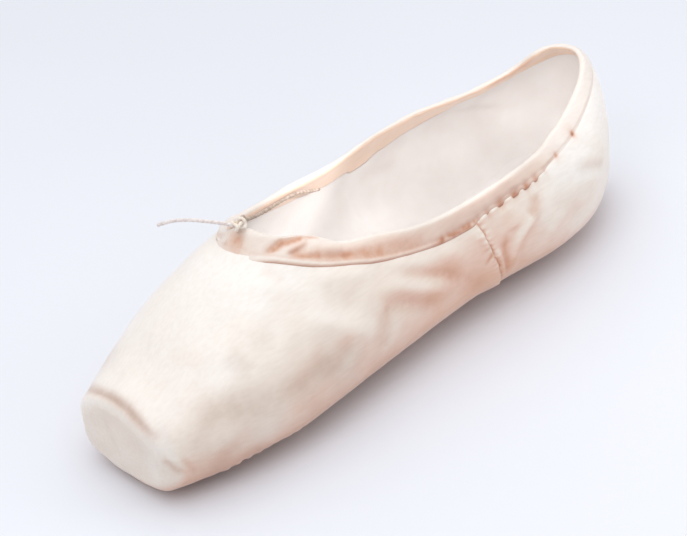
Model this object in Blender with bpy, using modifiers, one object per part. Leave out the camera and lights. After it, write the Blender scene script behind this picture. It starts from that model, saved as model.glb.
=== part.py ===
"""A ballet pointe shoe, standing empty on its sole.

The shoe lies along Y, with the toe at -Y and the heel at +Y. X is across it and Z is up, and
the flat spots of the sole are on Z = 0. Every curved piece is read from one function, the last,
whose cross sections are worked out from the length, the ball width, the instep height and the
height of the heel. Lengths are in metres.
"""
from math import cos, pi, sin

import bmesh
import bpy
import numpy as np

# Driving dimensions
LENGTH = 0.236
BALL_WIDTH = 0.0716
INSTEP_HEIGHT = 0.0674
HEEL_HEIGHT = 0.0600

# Thicknesses and clearances
BOX_WALL = 0.0030
QUARTER_WALL = 0.0012
SOLE_THICKNESS = 0.0030
SOLE_EDGE = 0.0016
INSOLE_THICKNESS = 0.0012
BAND_THICKNESS = 0.0006
GAP = 0.0003
BAND_GAP = 0.0004
SEAT_GAP = 0.0005

# Where the stiff box's wall thins: between two stations, and between two distances from the
# collar's edge
BOX_FADE_START, BOX_FADE_END = 0.22, 0.42
EDGE_FADE_START, EDGE_FADE_END = 0.004, 0.024

# Sole
TOE_SPRING = 0.0008
TOE_SPRING_END = 0.15
ARCH_RISE = 0.0020
ARCH_START, ARCH_END = 0.42, 0.76
SOLE_FRONT, SOLE_BACK = 0.075, 0.957
SOLE_FRONT_ROUND, SOLE_BACK_ROUND = 0.075, 0.085
SOLE_END_CURVE = 2.4
SKIVE_SLOPE = 0.20
MARGIN = 0.005
INSOLE_MARGIN = 0.0035
PLUG_CLEARANCE = 0.0012
PLUG_END = 0.0085
PLUG_STEP = 0.0005

# Ends of the last
PLATFORM_ROUND = 0.0033
HEEL_START = 0.80
HEEL_PLAN_CURVE = 2.05
HEEL_SIDE_CURVE = 4.0
HEEL_TOP_CURVE = 3.5
HEEL_POLE = 0.37

# Soft forms of the upper
THROAT_RISE = 0.0024
THROAT_RISE_WIDTH = 0.0085
THROAT_RISE_DEPTH = 0.008
SEAM_STATION = 0.587
SEAM_HEIGHT = 0.030
SEAM_LOW = 0.006
SEAM_LEAN = -0.31
SEAM_STEP = 0.0008
SEAM_STEP_WIDTH = 0.0008
SEAM_FADE = 0.012
SWELL = 0.0012
SWELL_DEPTH = 0.016
SWELL_START, SWELL_FULL = 0.60, 0.70
SWELL_FADE, SWELL_END = 0.86, 0.96

# Drawstring casing and cord
BAND_DEPTH = 0.0062
BAND_INNER_DEPTH = 0.0050
ROLL = 0.0008
THROAT_REACH = 0.55
THROAT_REACH_WIDTH = 0.008
CORD_DIAMETER = 0.0012
KNOT_CORD_DIAMETER = 0.0011
KNOT_SCALE = 0.00075
KNOT_HEIGHT = 1.4
KNOT_VALLEY = 0.8
KNOT_DEPTH = 0.0005
KNOT_STAND = 0.0021
KNOT_LEAN = 0.35
KNOT_TURN = 0.52

# Cross sections of the last. Station is a share of LENGTH from the toe, half_width a share of
# BALL_WIDTH, crown and widest are heights as shares of INSTEP_HEIGHT, and the two curves are
# exponents: 2 is an ellipse, and more is squarer.
SECTION_COLUMNS = ("station", "half_width", "crown", "widest", "upper_curve", "lower_curve")
SECTIONS = (
    (0.00, 0.300, 0.451, 0.209, 2.55, 2.6),
    (0.05, 0.377, 0.515, 0.240, 2.35, 2.9),
    (0.12, 0.452, 0.656, 0.273, 2.13, 3.0),
    (0.20, 0.494, 0.829, 0.303, 1.92, 3.2),
    (0.28, 0.498, 0.948, 0.320, 1.74, 3.2),
    (0.40, 0.482, 1.000, 0.337, 1.71, 3.1),
    (0.52, 0.476, 0.995, 0.347, 1.83, 3.1),
    (0.64, 0.496, 0.975, 0.348, 2.06, 3.2),
    (0.76, 0.513, 0.878, 0.343, 2.00, 3.3),
    (0.88, 0.453, 0.912, 0.349, 1.73, 3.2),
    (1.00, 0.386, 1.045, 0.377, 2.33, 2.8),
)

# Height of the collar's edge. Station is a share of LENGTH, height a share of HEEL_HEIGHT.
COLLAR_COLUMNS = ("station", "height")
COLLAR = (
    (0.265, 1.044),
    (0.33, 0.943),
    (0.40, 0.874),
    (0.50, 0.799),
    (0.62, 0.799),
    (0.74, 0.807),
    (0.85, 0.836),
    (0.93, 0.935),
    (1.00, 1.060),
)

# Outline of the outsole before its ends are rounded: half_width is a share of BALL_WIDTH.
OUTLINE_COLUMNS = ("station", "half_width")
OUTLINE = (
    (0.075, 0.255),
    (0.16, 0.305),
    (0.26, 0.342),
    (0.38, 0.300),
    (0.50, 0.218),
    (0.60, 0.192),
    (0.72, 0.215),
    (0.85, 0.262),
    (0.957, 0.262),
)

# Profile of the binding, round a U over the collar's edge. Face says which skin of the wall
# the point is measured from, stand is its distance off that skin, and depth its distance
# below the edge.
BAND_COLUMNS = ("face", "stand", "depth")
BAND_PROFILE = (
    ("outer", GAP, BAND_DEPTH),
    ("outer", GAP + BAND_THICKNESS, BAND_DEPTH),
    ("outer", GAP + BAND_THICKNESS, 0.5 * BAND_DEPTH),
    ("outer", GAP + BAND_THICKNESS, 0.3 * BAND_DEPTH),
    ("outer", GAP + ROLL, 0.0010),
    ("outer", GAP + 0.5 * ROLL, -GAP - 0.7 * ROLL),
    ("inner", BAND_GAP + 0.5 * ROLL, -GAP - 0.7 * ROLL),
    ("inner", BAND_GAP + ROLL, 0.0010),
    ("inner", BAND_GAP + BAND_THICKNESS, 0.3 * BAND_DEPTH),
    ("inner", BAND_GAP + BAND_THICKNESS, BAND_INNER_DEPTH),
    ("inner", BAND_GAP, BAND_INNER_DEPTH),
    ("inner", BAND_GAP, 0.3 * BAND_DEPTH),
    ("inner", BAND_GAP, -GAP),
    ("outer", GAP, -GAP),
    ("outer", GAP, 0.3 * BAND_DEPTH),
)

# Routes of the drawstring's two free ends, from the knot to the tip
CORD_ROUTES = {
    "drawstring_end_1": (
        (-0.0031, -0.0586, 0.0661),
        (-0.0085, -0.0590, 0.0650),
        (-0.0128, -0.0593, 0.0640),
        (-0.0172, -0.0597, 0.0629),
        (-0.0218, -0.0602, 0.0618),
        (-0.0263, -0.0607, 0.0604),
        (-0.0308, -0.0612, 0.0587),
        (-0.0350, -0.0617, 0.0567),
        (-0.0390, -0.0622, 0.0545),
    ),
    "drawstring_end_2": (
        (-0.0023, -0.0560, 0.0669),
        (-0.0044, -0.0534, 0.0660),
        (-0.0070, -0.0508, 0.0637),
        (-0.0104, -0.0476, 0.0600),
        (-0.0138, -0.0437, 0.0568),
        (-0.0165, -0.0395, 0.0543),
        (-0.0182, -0.0352, 0.0527),
        (-0.0191, -0.0298, 0.0520),
        (-0.0199, -0.0235, 0.0515),
        (-0.0206, -0.0190, 0.0508),
        (-0.0215, -0.0145, 0.0496),
        (-0.0231, -0.0083, 0.0466),
        (-0.0252, -0.0017, 0.0434),
    ),
}

# Rows of the upper where it turns: shares of LENGTH ahead of the throat, metres behind the side
# seam, and shares of the heel's rounding
THROAT_ROWS = (0.032, 0.021, 0.012, 0.005)
SEAM_ROWS = (-0.0060, -0.0018, -0.0006, 0.0002, 0.0020)
HEEL_ROWS = (0.77, 0.66, 0.48, 0.0)

# Resolution
RIM_ROWS = 5
BOX_ROWS = 10
THROAT_SIDE_ROWS, THROAT_SIDE_END = 8, 0.09
MIDDLE_ROWS = 10
QUARTER_ROWS = 12
COLLAR_BACK_ROWS, COLLAR_BACK_START = 9, 0.06
PLATFORM_RINGS = (0.0, 0.35, 0.7)
ROWS_BELOW = 3
ROWS_ABOVE = 10
CORNER_ANGLE = -0.85
BAND_ROWS = 38
SOLE_ROWS = 26
PLUG_ROWS = 17
END_ROWS = 5
SOLE_COLUMNS = 4
PLUG_COLUMNS = 3
KNOT_POINTS = 24
GIRTH_SAMPLES = 80
COLLAR_CROWDING = 0.55
GIRTH_CROWDING = 0.40
SOLE_CROWDING = 0.8
SETTLE_STEPS = 16
SETTLE_MOVE = 0.0005
WALK_STEPS = 4


def natural_curve(stations, values):
    """A function of the station: the natural cubic curve through a column of a table."""
    x, y = np.asarray(stations, float), np.asarray(values, float)
    step = np.diff(x)
    matrix = np.eye(len(x))
    right = np.zeros(len(x))
    for i in range(1, len(x) - 1):
        matrix[i, i - 1:i + 2] = step[i - 1], 2 * (step[i - 1] + step[i]), step[i]
        right[i] = 6 * ((y[i + 1] - y[i]) / step[i] - (y[i] - y[i - 1]) / step[i - 1])
    bend = np.linalg.solve(matrix, right)

    def curve(station):
        at = np.clip(np.asarray(station, float), x[0], x[-1])
        i = np.clip(np.searchsorted(x, at) - 1, 0, len(x) - 2)
        a = (x[i + 1] - at) / step[i]
        b = 1 - a
        bent = ((a**3 - a) * bend[i] + (b**3 - b) * bend[i + 1]) * step[i] ** 2 / 6
        return a * y[i] + b * y[i + 1] + bent

    return curve


def column(table, columns, name):
    """The curve of one named column of a table against its station."""
    index = columns.index(name)
    return natural_curve([row[0] for row in table], [row[index] for row in table])


SECTION_CURVES = {name: column(SECTIONS, SECTION_COLUMNS, name) for name in SECTION_COLUMNS[1:]}
collar_share = column(COLLAR, COLLAR_COLUMNS, "height")
outline_share = column(OUTLINE, OUTLINE_COLUMNS, "half_width")


def smooth(value, start, end):
    """0 at start, 1 at end, level at both."""
    t = np.clip((value - start) / (end - start), 0, 1)
    return t * t * (3 - 2 * t)


def crowded(count, crowding):
    """Shares from 0 to 1, evenly spaced where crowding is 0 and closer at both ends above it."""
    share = np.linspace(0, 1, count)
    return share - crowding * np.sin(2 * pi * share) / (2 * pi)


# Floor side of the last


def floor_rise(station):
    """Height of the outsole's flat underside: toe spring in front and the arch's rise."""
    spring = TOE_SPRING * np.clip((TOE_SPRING_END - station) / (TOE_SPRING_END - SOLE_FRONT), 0, 1) ** 2
    t = np.clip((station - ARCH_START) / (ARCH_END - ARCH_START), 0, 1)
    return spring + ARCH_RISE * np.sin(pi * t) ** 2


def sole_depth(station):
    """Thickness of the outsole on its centre line, thinned towards the toe."""
    return SOLE_EDGE + (SOLE_THICKNESS - SOLE_EDGE) * smooth(station, SOLE_FRONT, TOE_SPRING_END)


# The last


def section(station):
    """Half width, top, widest height, bottom and the two exponents of a cross section."""
    s = np.clip(station, 0, 0.99995)
    value = {name: curve(s) for name, curve in SECTION_CURVES.items()}
    t = np.clip((s - HEEL_START) / (1 - HEEL_START), 0, 1)
    narrow = (1 - t**HEEL_PLAN_CURVE) ** (1 / HEEL_PLAN_CURVE)
    close = (1 - t**HEEL_SIDE_CURVE) ** (1 / HEEL_SIDE_CURVE)
    lean = (1 - t**HEEL_TOP_CURVE) ** (1 / HEEL_TOP_CURVE)
    pole = HEEL_POLE * INSTEP_HEIGHT
    ahead = np.clip(PLATFORM_ROUND - s * LENGTH, 0, PLATFORM_ROUND)
    inset = PLATFORM_ROUND - np.sqrt(PLATFORM_ROUND**2 - ahead**2)
    bottom = floor_rise(s) + sole_depth(s) + GAP
    return (
        value["half_width"] * BALL_WIDTH * narrow - inset,
        pole + (value["crown"] * INSTEP_HEIGHT - pole) * lean - inset,
        pole + (value["widest"] * INSTEP_HEIGHT - pole) * close,
        pole - (pole - bottom) * close + inset,
        value["upper_curve"],
        value["lower_curve"],
    )


def section_point(station, angle):
    """A point of the last's left half: angle runs from -90 below to +90 degrees on top."""
    half, top, widest, bottom, upper, lower = section(station)
    above = angle >= 0
    power = np.where(above, upper, lower)
    across = half * np.abs(np.cos(angle)) ** (2 / power)
    rise = np.abs(np.sin(angle)) ** (2 / power)
    height = np.where(above, widest + (top - widest) * rise, widest - (widest - bottom) * rise)
    along = (station - 0.5) * LENGTH + 0 * angle
    return np.stack([across, along, height], axis=-1)


def field(point):
    """0 on the last, negative inside it and positive outside."""
    half, top, widest, bottom, upper, lower = section(point[..., 1] / LENGTH + 0.5)
    above = point[..., 2] > widest
    power = np.where(above, upper, lower)
    height = np.where(above, top - widest, widest - bottom)
    across = np.abs(point[..., 0]) / half
    up = np.abs(point[..., 2] - widest) / height
    return (across**power + up**power) ** (1 / power) - 1


def gradient(point, step=2e-5):
    """Slope of the field along X, Y and Z."""
    slopes = []
    for axis in np.eye(3) * step:
        slopes.append((field(point + axis) - field(point - axis)) / (2 * step))
    return np.stack(slopes, axis=-1)


def unit(vectors):
    return vectors / np.linalg.norm(vectors, axis=-1, keepdims=True)


def normal(point):
    """Outward direction of the last at a point."""
    return unit(gradient(point))


def settle(point):
    """Move points near the last onto it."""
    for _ in range(SETTLE_STEPS):
        slope = gradient(point)
        steep = np.linalg.norm(slope, axis=-1)
        move = np.clip(field(point) / steep, -SETTLE_MOVE, SETTLE_MOVE)
        point = point - slope * (move / steep)[..., None]
    return point


# Collar and openings


def collar_height(station):
    return collar_share(station) * HEEL_HEIGHT


def crossing(low, high):
    """Station between low and high where the crown passes through the collar's height."""
    rising = section(low)[1] < collar_height(low)
    for _ in range(50):
        middle = (low + high) / 2
        if (section(middle)[1] < collar_height(middle)) == rising:
            low = middle
        else:
            high = middle
    return (low + high) / 2


THROAT = crossing(0.24, 0.35)
COLLAR_BACK = crossing(0.90, 0.995)


def collar_angle(station):
    """Angle of the section at which the wall ends: the collar's edge or the ridge."""
    half, top, widest, bottom, upper, lower = section(station)
    share = np.clip((collar_height(station) - widest) / (top - widest), 0, 1)
    edge = np.arcsin(share ** (upper / 2))
    return np.where((station > THROAT) & (station < COLLAR_BACK), edge, pi / 2)


def collar_curve(count):
    """Points along the left half of the collar's edge, throat to heel, closer at both ends."""
    turn = np.linspace(0, pi, 400)
    station = THROAT + (COLLAR_BACK - THROAT) * (1 - np.cos(turn)) / 2
    points = section_point(station, collar_angle(station))
    points[0, 0] = points[-1, 0] = 0
    length = np.concatenate([[0], np.cumsum(np.linalg.norm(np.diff(points, axis=0), axis=1))])
    spaced = length[-1] * crowded(count, COLLAR_CROWDING)
    return np.stack([np.interp(spaced, length, points[:, axis]) for axis in range(3)], axis=-1)


COLLAR_LINE = collar_curve(90)


def edge_distance(point):
    """Distance from a point to the collar's edge."""
    mirrored = np.stack([np.abs(point[..., 0]), point[..., 1], point[..., 2]], axis=-1)
    apart = np.linalg.norm(mirrored[..., None, :] - COLLAR_LINE, axis=-1)
    return apart.min(axis=-1)


def outline(station, inset):
    """Half width of the outsole's outline, moved in by inset. 0 past its ends."""
    first, last = SOLE_FRONT + inset / LENGTH, SOLE_BACK - inset / LENGTH
    front = np.clip((first + SOLE_FRONT_ROUND - station) / SOLE_FRONT_ROUND, 0, 1)
    back = np.clip((station - last + SOLE_BACK_ROUND) / SOLE_BACK_ROUND, 0, 1)
    rounding = np.sqrt(1 - front**SOLE_END_CURVE) * np.sqrt(1 - back**SOLE_END_CURVE)
    return np.maximum(outline_share(station) * BALL_WIDTH - inset, 0) * rounding


def opening_angle(station):
    """Angle of the section at the edge of the opening underneath, or the keel."""
    half, top, widest, bottom, upper, lower = section(station)
    share = np.clip(outline(station, MARGIN) / half, 0, 1)
    return -np.arccos(share ** (lower / 2))


# The wall's own shape


def wall(point):
    """Thickness of the upper: stiff in the box and along the sole, thin at the collar."""
    station = point[..., 1] / LENGTH + 0.5
    box = 1 - smooth(station, BOX_FADE_START, BOX_FADE_END)
    away = smooth(edge_distance(point), EDGE_FADE_START, EDGE_FADE_END)
    return QUARTER_WALL + (BOX_WALL - QUARTER_WALL) * box * away


def lift(point):
    """How far the satin stands off the last: gathered throat, side seam and full quarter."""
    station = point[..., 1] / LENGTH + 0.5
    depth = edge_distance(point)
    across = point[..., 0] / THROAT_RISE_WIDTH
    throat = THROAT_RISE * np.exp(-(across**2) - (depth / THROAT_RISE_DEPTH) ** 2)
    throat = np.where(station < 0.5, throat, 0)
    ahead = SEAM_STEP_WIDTH / 4 - seam_offset(point)
    seam = SEAM_STEP * smooth(ahead, 0, SEAM_STEP_WIDTH) * (1 - smooth(ahead, SEAM_STEP_WIDTH, SEAM_FADE))
    seam = seam * smooth(depth, BAND_DEPTH, 1.6 * BAND_DEPTH)
    seam = seam * smooth(point[..., 2], SEAM_LOW, 2 * SEAM_LOW)
    full = smooth(station, SWELL_START, SWELL_FULL) * (1 - smooth(station, SWELL_FADE, SWELL_END))
    swell = SWELL * full * np.exp(-((depth - SWELL_DEPTH) / (0.6 * SWELL_DEPTH)) ** 2)
    return throat + seam + swell


def seam_offset(point):
    """Distance behind the side seam, which leans forward as it rises."""
    along = point[..., 1] - (SEAM_STATION - 0.5) * LENGTH
    return along - SEAM_LEAN * (point[..., 2] - SEAM_HEIGHT)


def stand_off(point, distance):
    """Points at a distance outside the upper's outer skin."""
    return point + normal(point) * (lift(point) + distance)[..., None]


# Meshes


def material(name, colour, roughness):
    new = bpy.data.materials.new(name)
    new.use_nodes = True
    shader = new.node_tree.nodes["Principled BSDF"]
    shader.inputs["Base Color"].default_value = (*colour, 1)
    shader.inputs["Roughness"].default_value = roughness
    shader.inputs["Metallic"].default_value = 0
    return new


def add_object(name, mesh, collection, finish):
    part = bpy.data.objects.new(name, mesh)
    collection.objects.link(part)
    mesh.materials.append(finish)
    mesh.shade_smooth()
    return part


def surface(name, rows, ring=False):
    """A mesh from rows of points, each joined to the next, with coinciding points merged."""
    loft = bmesh.new()
    grid = [[loft.verts.new(point) for point in row] for row in rows]
    last = len(rows[0]) if ring else len(rows[0]) - 1
    for first, second in zip(grid, grid[1:]):
        for i in range(last):
            j = (i + 1) % len(first)
            loft.faces.new((first[i], second[i], second[j], first[j]))
    bmesh.ops.remove_doubles(loft, verts=loft.verts, dist=1e-6)
    mesh = bpy.data.meshes.new(name)
    loft.to_mesh(mesh)
    loft.free()
    return mesh


def mirror(part):
    """Add the right half."""
    modifier = part.modifiers.new("right_half", "MIRROR")
    modifier.use_axis = (True, False, False)
    modifier.merge_threshold = 0.0001


# Upper


def upper_stations():
    """Stations of the upper's rows: close at the platform's edge, the throat, seam and heel."""
    turns = np.linspace(0, pi / 2, RIM_ROWS)
    rim = PLATFORM_ROUND * (1 - np.cos(turns)) / LENGTH
    near_throat = THROAT - np.array(THROAT_ROWS)
    box = np.linspace(rim[-1], near_throat[0], BOX_ROWS)[1:-1]
    throat = THROAT + THROAT_SIDE_END * np.linspace(0, 1, THROAT_SIDE_ROWS) ** 2
    seam = SEAM_STATION + np.array(SEAM_ROWS) / LENGTH
    middle = np.linspace(throat[-1], seam[0], MIDDLE_ROWS)[1:-1]
    back = COLLAR_BACK - COLLAR_BACK_START * np.linspace(1, 0, COLLAR_BACK_ROWS) ** 2
    quarter = np.linspace(seam[-1], back[0], QUARTER_ROWS)[1:-1]
    close = np.array(HEEL_ROWS)
    heel = HEEL_START + (1 - HEEL_START) * (1 - close**HEEL_SIDE_CURVE) ** (1 / HEEL_SIDE_CURVE)
    return np.concatenate([rim, box, near_throat, throat, middle, seam, quarter, back, heel])


def upper_rows():
    """The outer skin's left half: the platform's rings, then a row at each station."""
    below = np.linspace(0, 1, ROWS_BELOW + 1)[:-1]
    shares = np.concatenate([below, 1 + crowded(ROWS_ABOVE + 1, GIRTH_CROWDING)])
    rows = []
    for base in upper_stations():
        window = smooth(base, 0.50, SEAM_STATION - 0.005) * (1 - smooth(base, SEAM_STATION + 0.01, 0.70))
        stations = np.full(len(shares), base)
        for _ in range(3):
            leaned = girth_points(stations, shares)
            stations = base + window * SEAM_LEAN * (leaned[:, 2] - SEAM_HEIGHT) / LENGTH
        row = girth_points(stations, shares)
        rows.append(row if base == 0 else stand_off(row, 0))
    pole = np.array([0, -LENGTH / 2, rows[0][:, 2].mean()])
    rings = [pole + (rows[0] - pole) * share for share in PLATFORM_RINGS]
    rows[-1] = np.tile([0, LENGTH / 2, HEEL_POLE * INSTEP_HEIGHT], (len(shares), 1))
    return rings + rows


def girth_points(stations, shares):
    """Points round the girth: share 0 is the opening underneath, 1 the corner, 2 the wall's end."""
    start, end = opening_angle(stations), collar_angle(stations)
    part = np.linspace(0, 1, GIRTH_SAMPLES)
    below = start[:, None] + (CORNER_ANGLE - start)[:, None] * part
    above = CORNER_ANGLE + (end - CORNER_ANGLE)[:, None] * part[1:]
    dense = section_point(stations[:, None], np.concatenate([below, above], axis=1))
    length = np.cumsum(np.linalg.norm(np.diff(dense, axis=1), axis=2), axis=1)
    length = np.concatenate([np.zeros((len(stations), 1)), length], axis=1)
    points = []
    for share, along, line in zip(shares, length, dense):
        place = np.interp(share, (0, 1, 2), (0, along[GIRTH_SAMPLES - 1], along[-1]))
        points.append([np.interp(place, along, line[:, axis]) for axis in range(3)])
    points = np.array(points)
    open_below, open_above = start > -pi / 2 + 1e-9, end < pi / 2 - 1e-9
    points[0, 0] *= open_below[0]
    points[-1, 0] *= open_above[-1]
    return points


def make_upper(collection, finish):
    rows = upper_rows()
    part = add_object("upper", surface("upper", rows), collection, finish)
    points = np.array([vertex.co[:] for vertex in part.data.vertices])
    thickness = part.vertex_groups.new(name="wall")
    for index, value in enumerate(wall(points)):
        thickness.add([index], float(value / BOX_WALL), "REPLACE")
    mirror(part)
    solid = part.modifiers.new("wall", "SOLIDIFY")
    solid.thickness = BOX_WALL
    solid.offset = -1
    solid.use_even_offset = True
    solid.vertex_group = thickness.name
    solid.thickness_vertex_group = 0
    return part


# Sole and insole


def sole_stations(first, last, count):
    """Stations from first to last, closer at both ends."""
    return first + (last - first) * crowded(count, SOLE_CROWDING)


def keel_point(station, across):
    """A point of the last's underside."""
    half, top, widest, bottom, upper, lower = section(station)
    share = np.clip(across / half, 0, 1)
    height = widest - (widest - bottom) * (1 - share**lower) ** (1 / lower)
    along = (station - 0.5) * LENGTH + 0 * across
    return np.stack([across, along, height], axis=-1)


def make_outsole(collection, finish):
    """Leather that closes the upper: flat on the floor at forefoot and heel, thin at its edge."""
    shares = np.linspace(0, 1, SOLE_COLUMNS + 1) ** 0.8
    rows = []
    for station in sole_stations(SOLE_FRONT, SOLE_BACK, SOLE_ROWS):
        half = float(outline(station, 0))
        slope = float(outline(station + 0.002, 0) - outline(station - 0.002, 0)) / (0.004 * LENGTH)
        top = keel_point(np.full(len(shares), station), half * shares)
        top[:, 2] -= GAP
        from_edge = half * (1 - shares) / np.hypot(1, slope)
        under = top.copy()
        under[:, 2] = np.maximum(floor_rise(station), top[:, 2] - SOLE_EDGE - SKIVE_SLOPE * from_edge)
        rows.append(np.concatenate([under, top[::-1]]))
    part = add_object("outsole", surface("outsole", rows), collection, finish)
    mirror(part)
    return part


def insole_stations():
    """Stations of the insole, with a pair close together at each end of its plug."""
    beyond = INSOLE_MARGIN / LENGTH
    plug_front, plug_back = SOLE_FRONT + PLUG_END / LENGTH, SOLE_BACK - PLUG_END / LENGTH
    step = PLUG_STEP / LENGTH
    toe = np.linspace(SOLE_FRONT - beyond, plug_front - step, END_ROWS)
    plug = np.linspace(plug_front, plug_back, PLUG_ROWS)
    heel = np.linspace(plug_back + step, SOLE_BACK + beyond, END_ROWS)
    return np.concatenate([toe, plug, heel])


def make_insole(collection, finish):
    """A sock on its board, on the upper's margins, with a plug that fills the opening."""
    in_plug = np.linspace(0, 1, PLUG_COLUMNS + 1)
    on_margin = np.linspace(0, 1, SOLE_COLUMNS)
    stations = insole_stations()
    rows = []
    for station in stations:
        half = float(outline(station, -INSOLE_MARGIN))
        filled = stations[END_ROWS] <= station <= stations[-END_ROWS - 1]
        plug = float(outline(station, MARGIN + PLUG_CLEARANCE)) if filled else 0
        across = np.concatenate([plug * in_plug, plug + (half - plug) * on_margin])
        keel = keel_point(np.full(len(across), station), across)
        inward = -normal(keel)
        seat = wall(keel) + SEAT_GAP
        low = seat.copy()
        if filled:
            low[:len(in_plug)] = 0
        under = keel + inward * low[:, None]
        top = keel + inward * (seat + INSOLE_THICKNESS)[:, None]
        under[0, 0] = top[0, 0] = 0
        rows.append(np.concatenate([under, top[::-1]]))
    part = add_object("insole", surface("insole", rows), collection, finish)
    mirror(part)
    return part


# Binding


def band_frames():
    """Points of the collar's edge, and the directions along it on the left half."""
    edge = collar_curve(BAND_ROWS)
    edge[1:-1] = settle(edge[1:-1])
    along = np.gradient(edge, axis=0)
    along[0] = (1, 0, 0)
    along[-1] = (-1, 0, 0)
    return edge, unit(along)


def band_point(edge, along, face, stand, depth):
    """A line of the binding's profile: depth is walked over the last, down from the edge."""
    base = edge
    at_throat = np.where(edge[:, 1] < 0, np.exp(-(edge[:, 0] / THROAT_REACH_WIDTH) ** 2), 0)
    step = (depth * (1 + THROAT_REACH * at_throat) / WALK_STEPS)[:, None]
    for _ in range(WALK_STEPS):
        base = base + unit(np.cross(along, normal(base))) * step
        if depth > 0:
            base = settle(base)
    out = normal(base if depth > 0 else edge)
    distance = stand if face == "outer" else -(wall(base) + stand)
    point = base + out * (lift(base) + distance)[:, None]
    point[np.abs(edge[:, 0]) < 1e-9, 0] = 0
    return point


def make_binding(collection, finish):
    """The drawstring's casing: satin folded over the collar's edge, thicker where it rolls."""
    edge, along = band_frames()
    lines = [band_point(edge, along, *place) for place in BAND_PROFILE]
    rows = np.stack(lines, axis=1)
    part = add_object("binding", surface("binding", rows, ring=True), collection, finish)
    mirror(part)
    return part


# Drawstring


def smooth_route(points, spacing):
    """Points at an even spacing along a smooth curve through the route's own points."""
    points = np.array(points)
    length = np.concatenate([[0], np.cumsum(np.linalg.norm(np.diff(points, axis=0), axis=1))])
    curves = [natural_curve(length, points[:, axis]) for axis in range(3)]
    even = np.linspace(0, length[-1], int(length[-1] / spacing) + 1)
    return np.stack([curve(even) for curve in curves], axis=-1)


def cord(name, points, diameter, collection, finish, cyclic=False):
    """A round cord along the points."""
    data = bpy.data.curves.new(name, "CURVE")
    data.dimensions = "3D"
    data.bevel_depth = diameter / 2
    data.bevel_resolution = 2
    data.use_fill_caps = not cyclic
    line = data.splines.new("POLY")
    line.points.add(len(points) - 1)
    for place, point in zip(line.points, points):
        place.co = (*point, 1)
    line.use_cyclic_u = cyclic
    data.materials.append(finish)
    part = bpy.data.objects.new(name, data)
    collection.objects.link(part)
    return part


def make_drawstring(collection, finish):
    """The knot, which lies on the binding at the throat, and the two free ends."""
    knot = []
    for turn in np.linspace(0, 2 * pi, KNOT_POINTS, endpoint=False):
        side = KNOT_SCALE * (KNOT_VALLEY * sin(turn) + 2 * sin(2 * turn))
        back = KNOT_SCALE * (KNOT_VALLEY * cos(turn) - 2 * cos(2 * turn))
        across = side * cos(KNOT_TURN) - back * sin(KNOT_TURN)
        along = side * sin(KNOT_TURN) + back * cos(KNOT_TURN)
        up = KNOT_SCALE * KNOT_HEIGHT * -sin(3 * turn)
        leaned = along * cos(KNOT_LEAN) - up * sin(KNOT_LEAN)
        risen = along * sin(KNOT_LEAN) + up * cos(KNOT_LEAN)
        knot.append((across, leaned, risen))
    part = cord("drawstring_knot", knot, KNOT_CORD_DIAMETER, collection, finish, cyclic=True)
    edge, along = band_frames()
    stand = GAP + BAND_THICKNESS + KNOT_STAND
    part.location = band_point(edge[:2], along[:2], "outer", stand, KNOT_DEPTH)[0]
    for name, route in CORD_ROUTES.items():
        cord(name, smooth_route(route, 2.2 * CORD_DIAMETER), CORD_DIAMETER, collection, finish)


def main():
    for old in list(bpy.data.objects):
        bpy.data.objects.remove(old)
    shoe = bpy.data.collections.new("pointe_shoe")
    bpy.context.scene.collection.children.link(shoe)
    satin = material("peach_satin", (0.86, 0.71, 0.60), 0.38)
    leather = material("pale_sole_leather", (0.62, 0.47, 0.36), 0.75)
    sock = material("white_cotton_sock", (0.86, 0.84, 0.80), 0.85)
    string = material("cotton_cord", (0.70, 0.66, 0.60), 0.80)
    make_upper(shoe, satin)
    make_outsole(shoe, leather)
    make_insole(shoe, sock)
    make_binding(shoe, material("binding_satin", (0.85, 0.66, 0.54), 0.42))
    make_drawstring(shoe, string)


main()
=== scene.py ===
"""The looks of the pointe shoe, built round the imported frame.

The shoe's skin is the one function of the CAD source, the last, read here on a much finer grid
and given its gathers, seams and folds. Lengths are in metres, apart from the tables of folds,
which are in millimetres.
"""
from math import cos, pi, radians, sin

import bpy
import numpy as np
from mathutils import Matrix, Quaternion, Vector
from mathutils.kdtree import KDTree


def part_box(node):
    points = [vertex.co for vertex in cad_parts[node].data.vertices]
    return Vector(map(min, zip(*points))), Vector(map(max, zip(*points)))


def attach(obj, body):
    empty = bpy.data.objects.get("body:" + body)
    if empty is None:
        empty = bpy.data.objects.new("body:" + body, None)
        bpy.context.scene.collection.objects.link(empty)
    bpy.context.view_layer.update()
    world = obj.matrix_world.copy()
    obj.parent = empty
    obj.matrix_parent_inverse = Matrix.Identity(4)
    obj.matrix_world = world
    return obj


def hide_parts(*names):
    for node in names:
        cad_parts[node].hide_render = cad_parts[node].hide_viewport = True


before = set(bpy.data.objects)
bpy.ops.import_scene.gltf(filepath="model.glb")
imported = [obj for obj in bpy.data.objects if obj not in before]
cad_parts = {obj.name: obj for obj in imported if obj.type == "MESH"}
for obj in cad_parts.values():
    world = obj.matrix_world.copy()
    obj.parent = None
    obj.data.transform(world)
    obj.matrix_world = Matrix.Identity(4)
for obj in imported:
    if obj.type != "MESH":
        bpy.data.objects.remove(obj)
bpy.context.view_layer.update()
MM = 0.001

# Camera, fitted to the photograph
CAMERA_PLACE = (0.34429, -0.31978, 0.33128)
CAMERA_AIM = (-0.00522, -0.01232, 0.02361)
CAMERA_ROLL = radians(6.805)
CAMERA_LENS = 83.86

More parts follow.
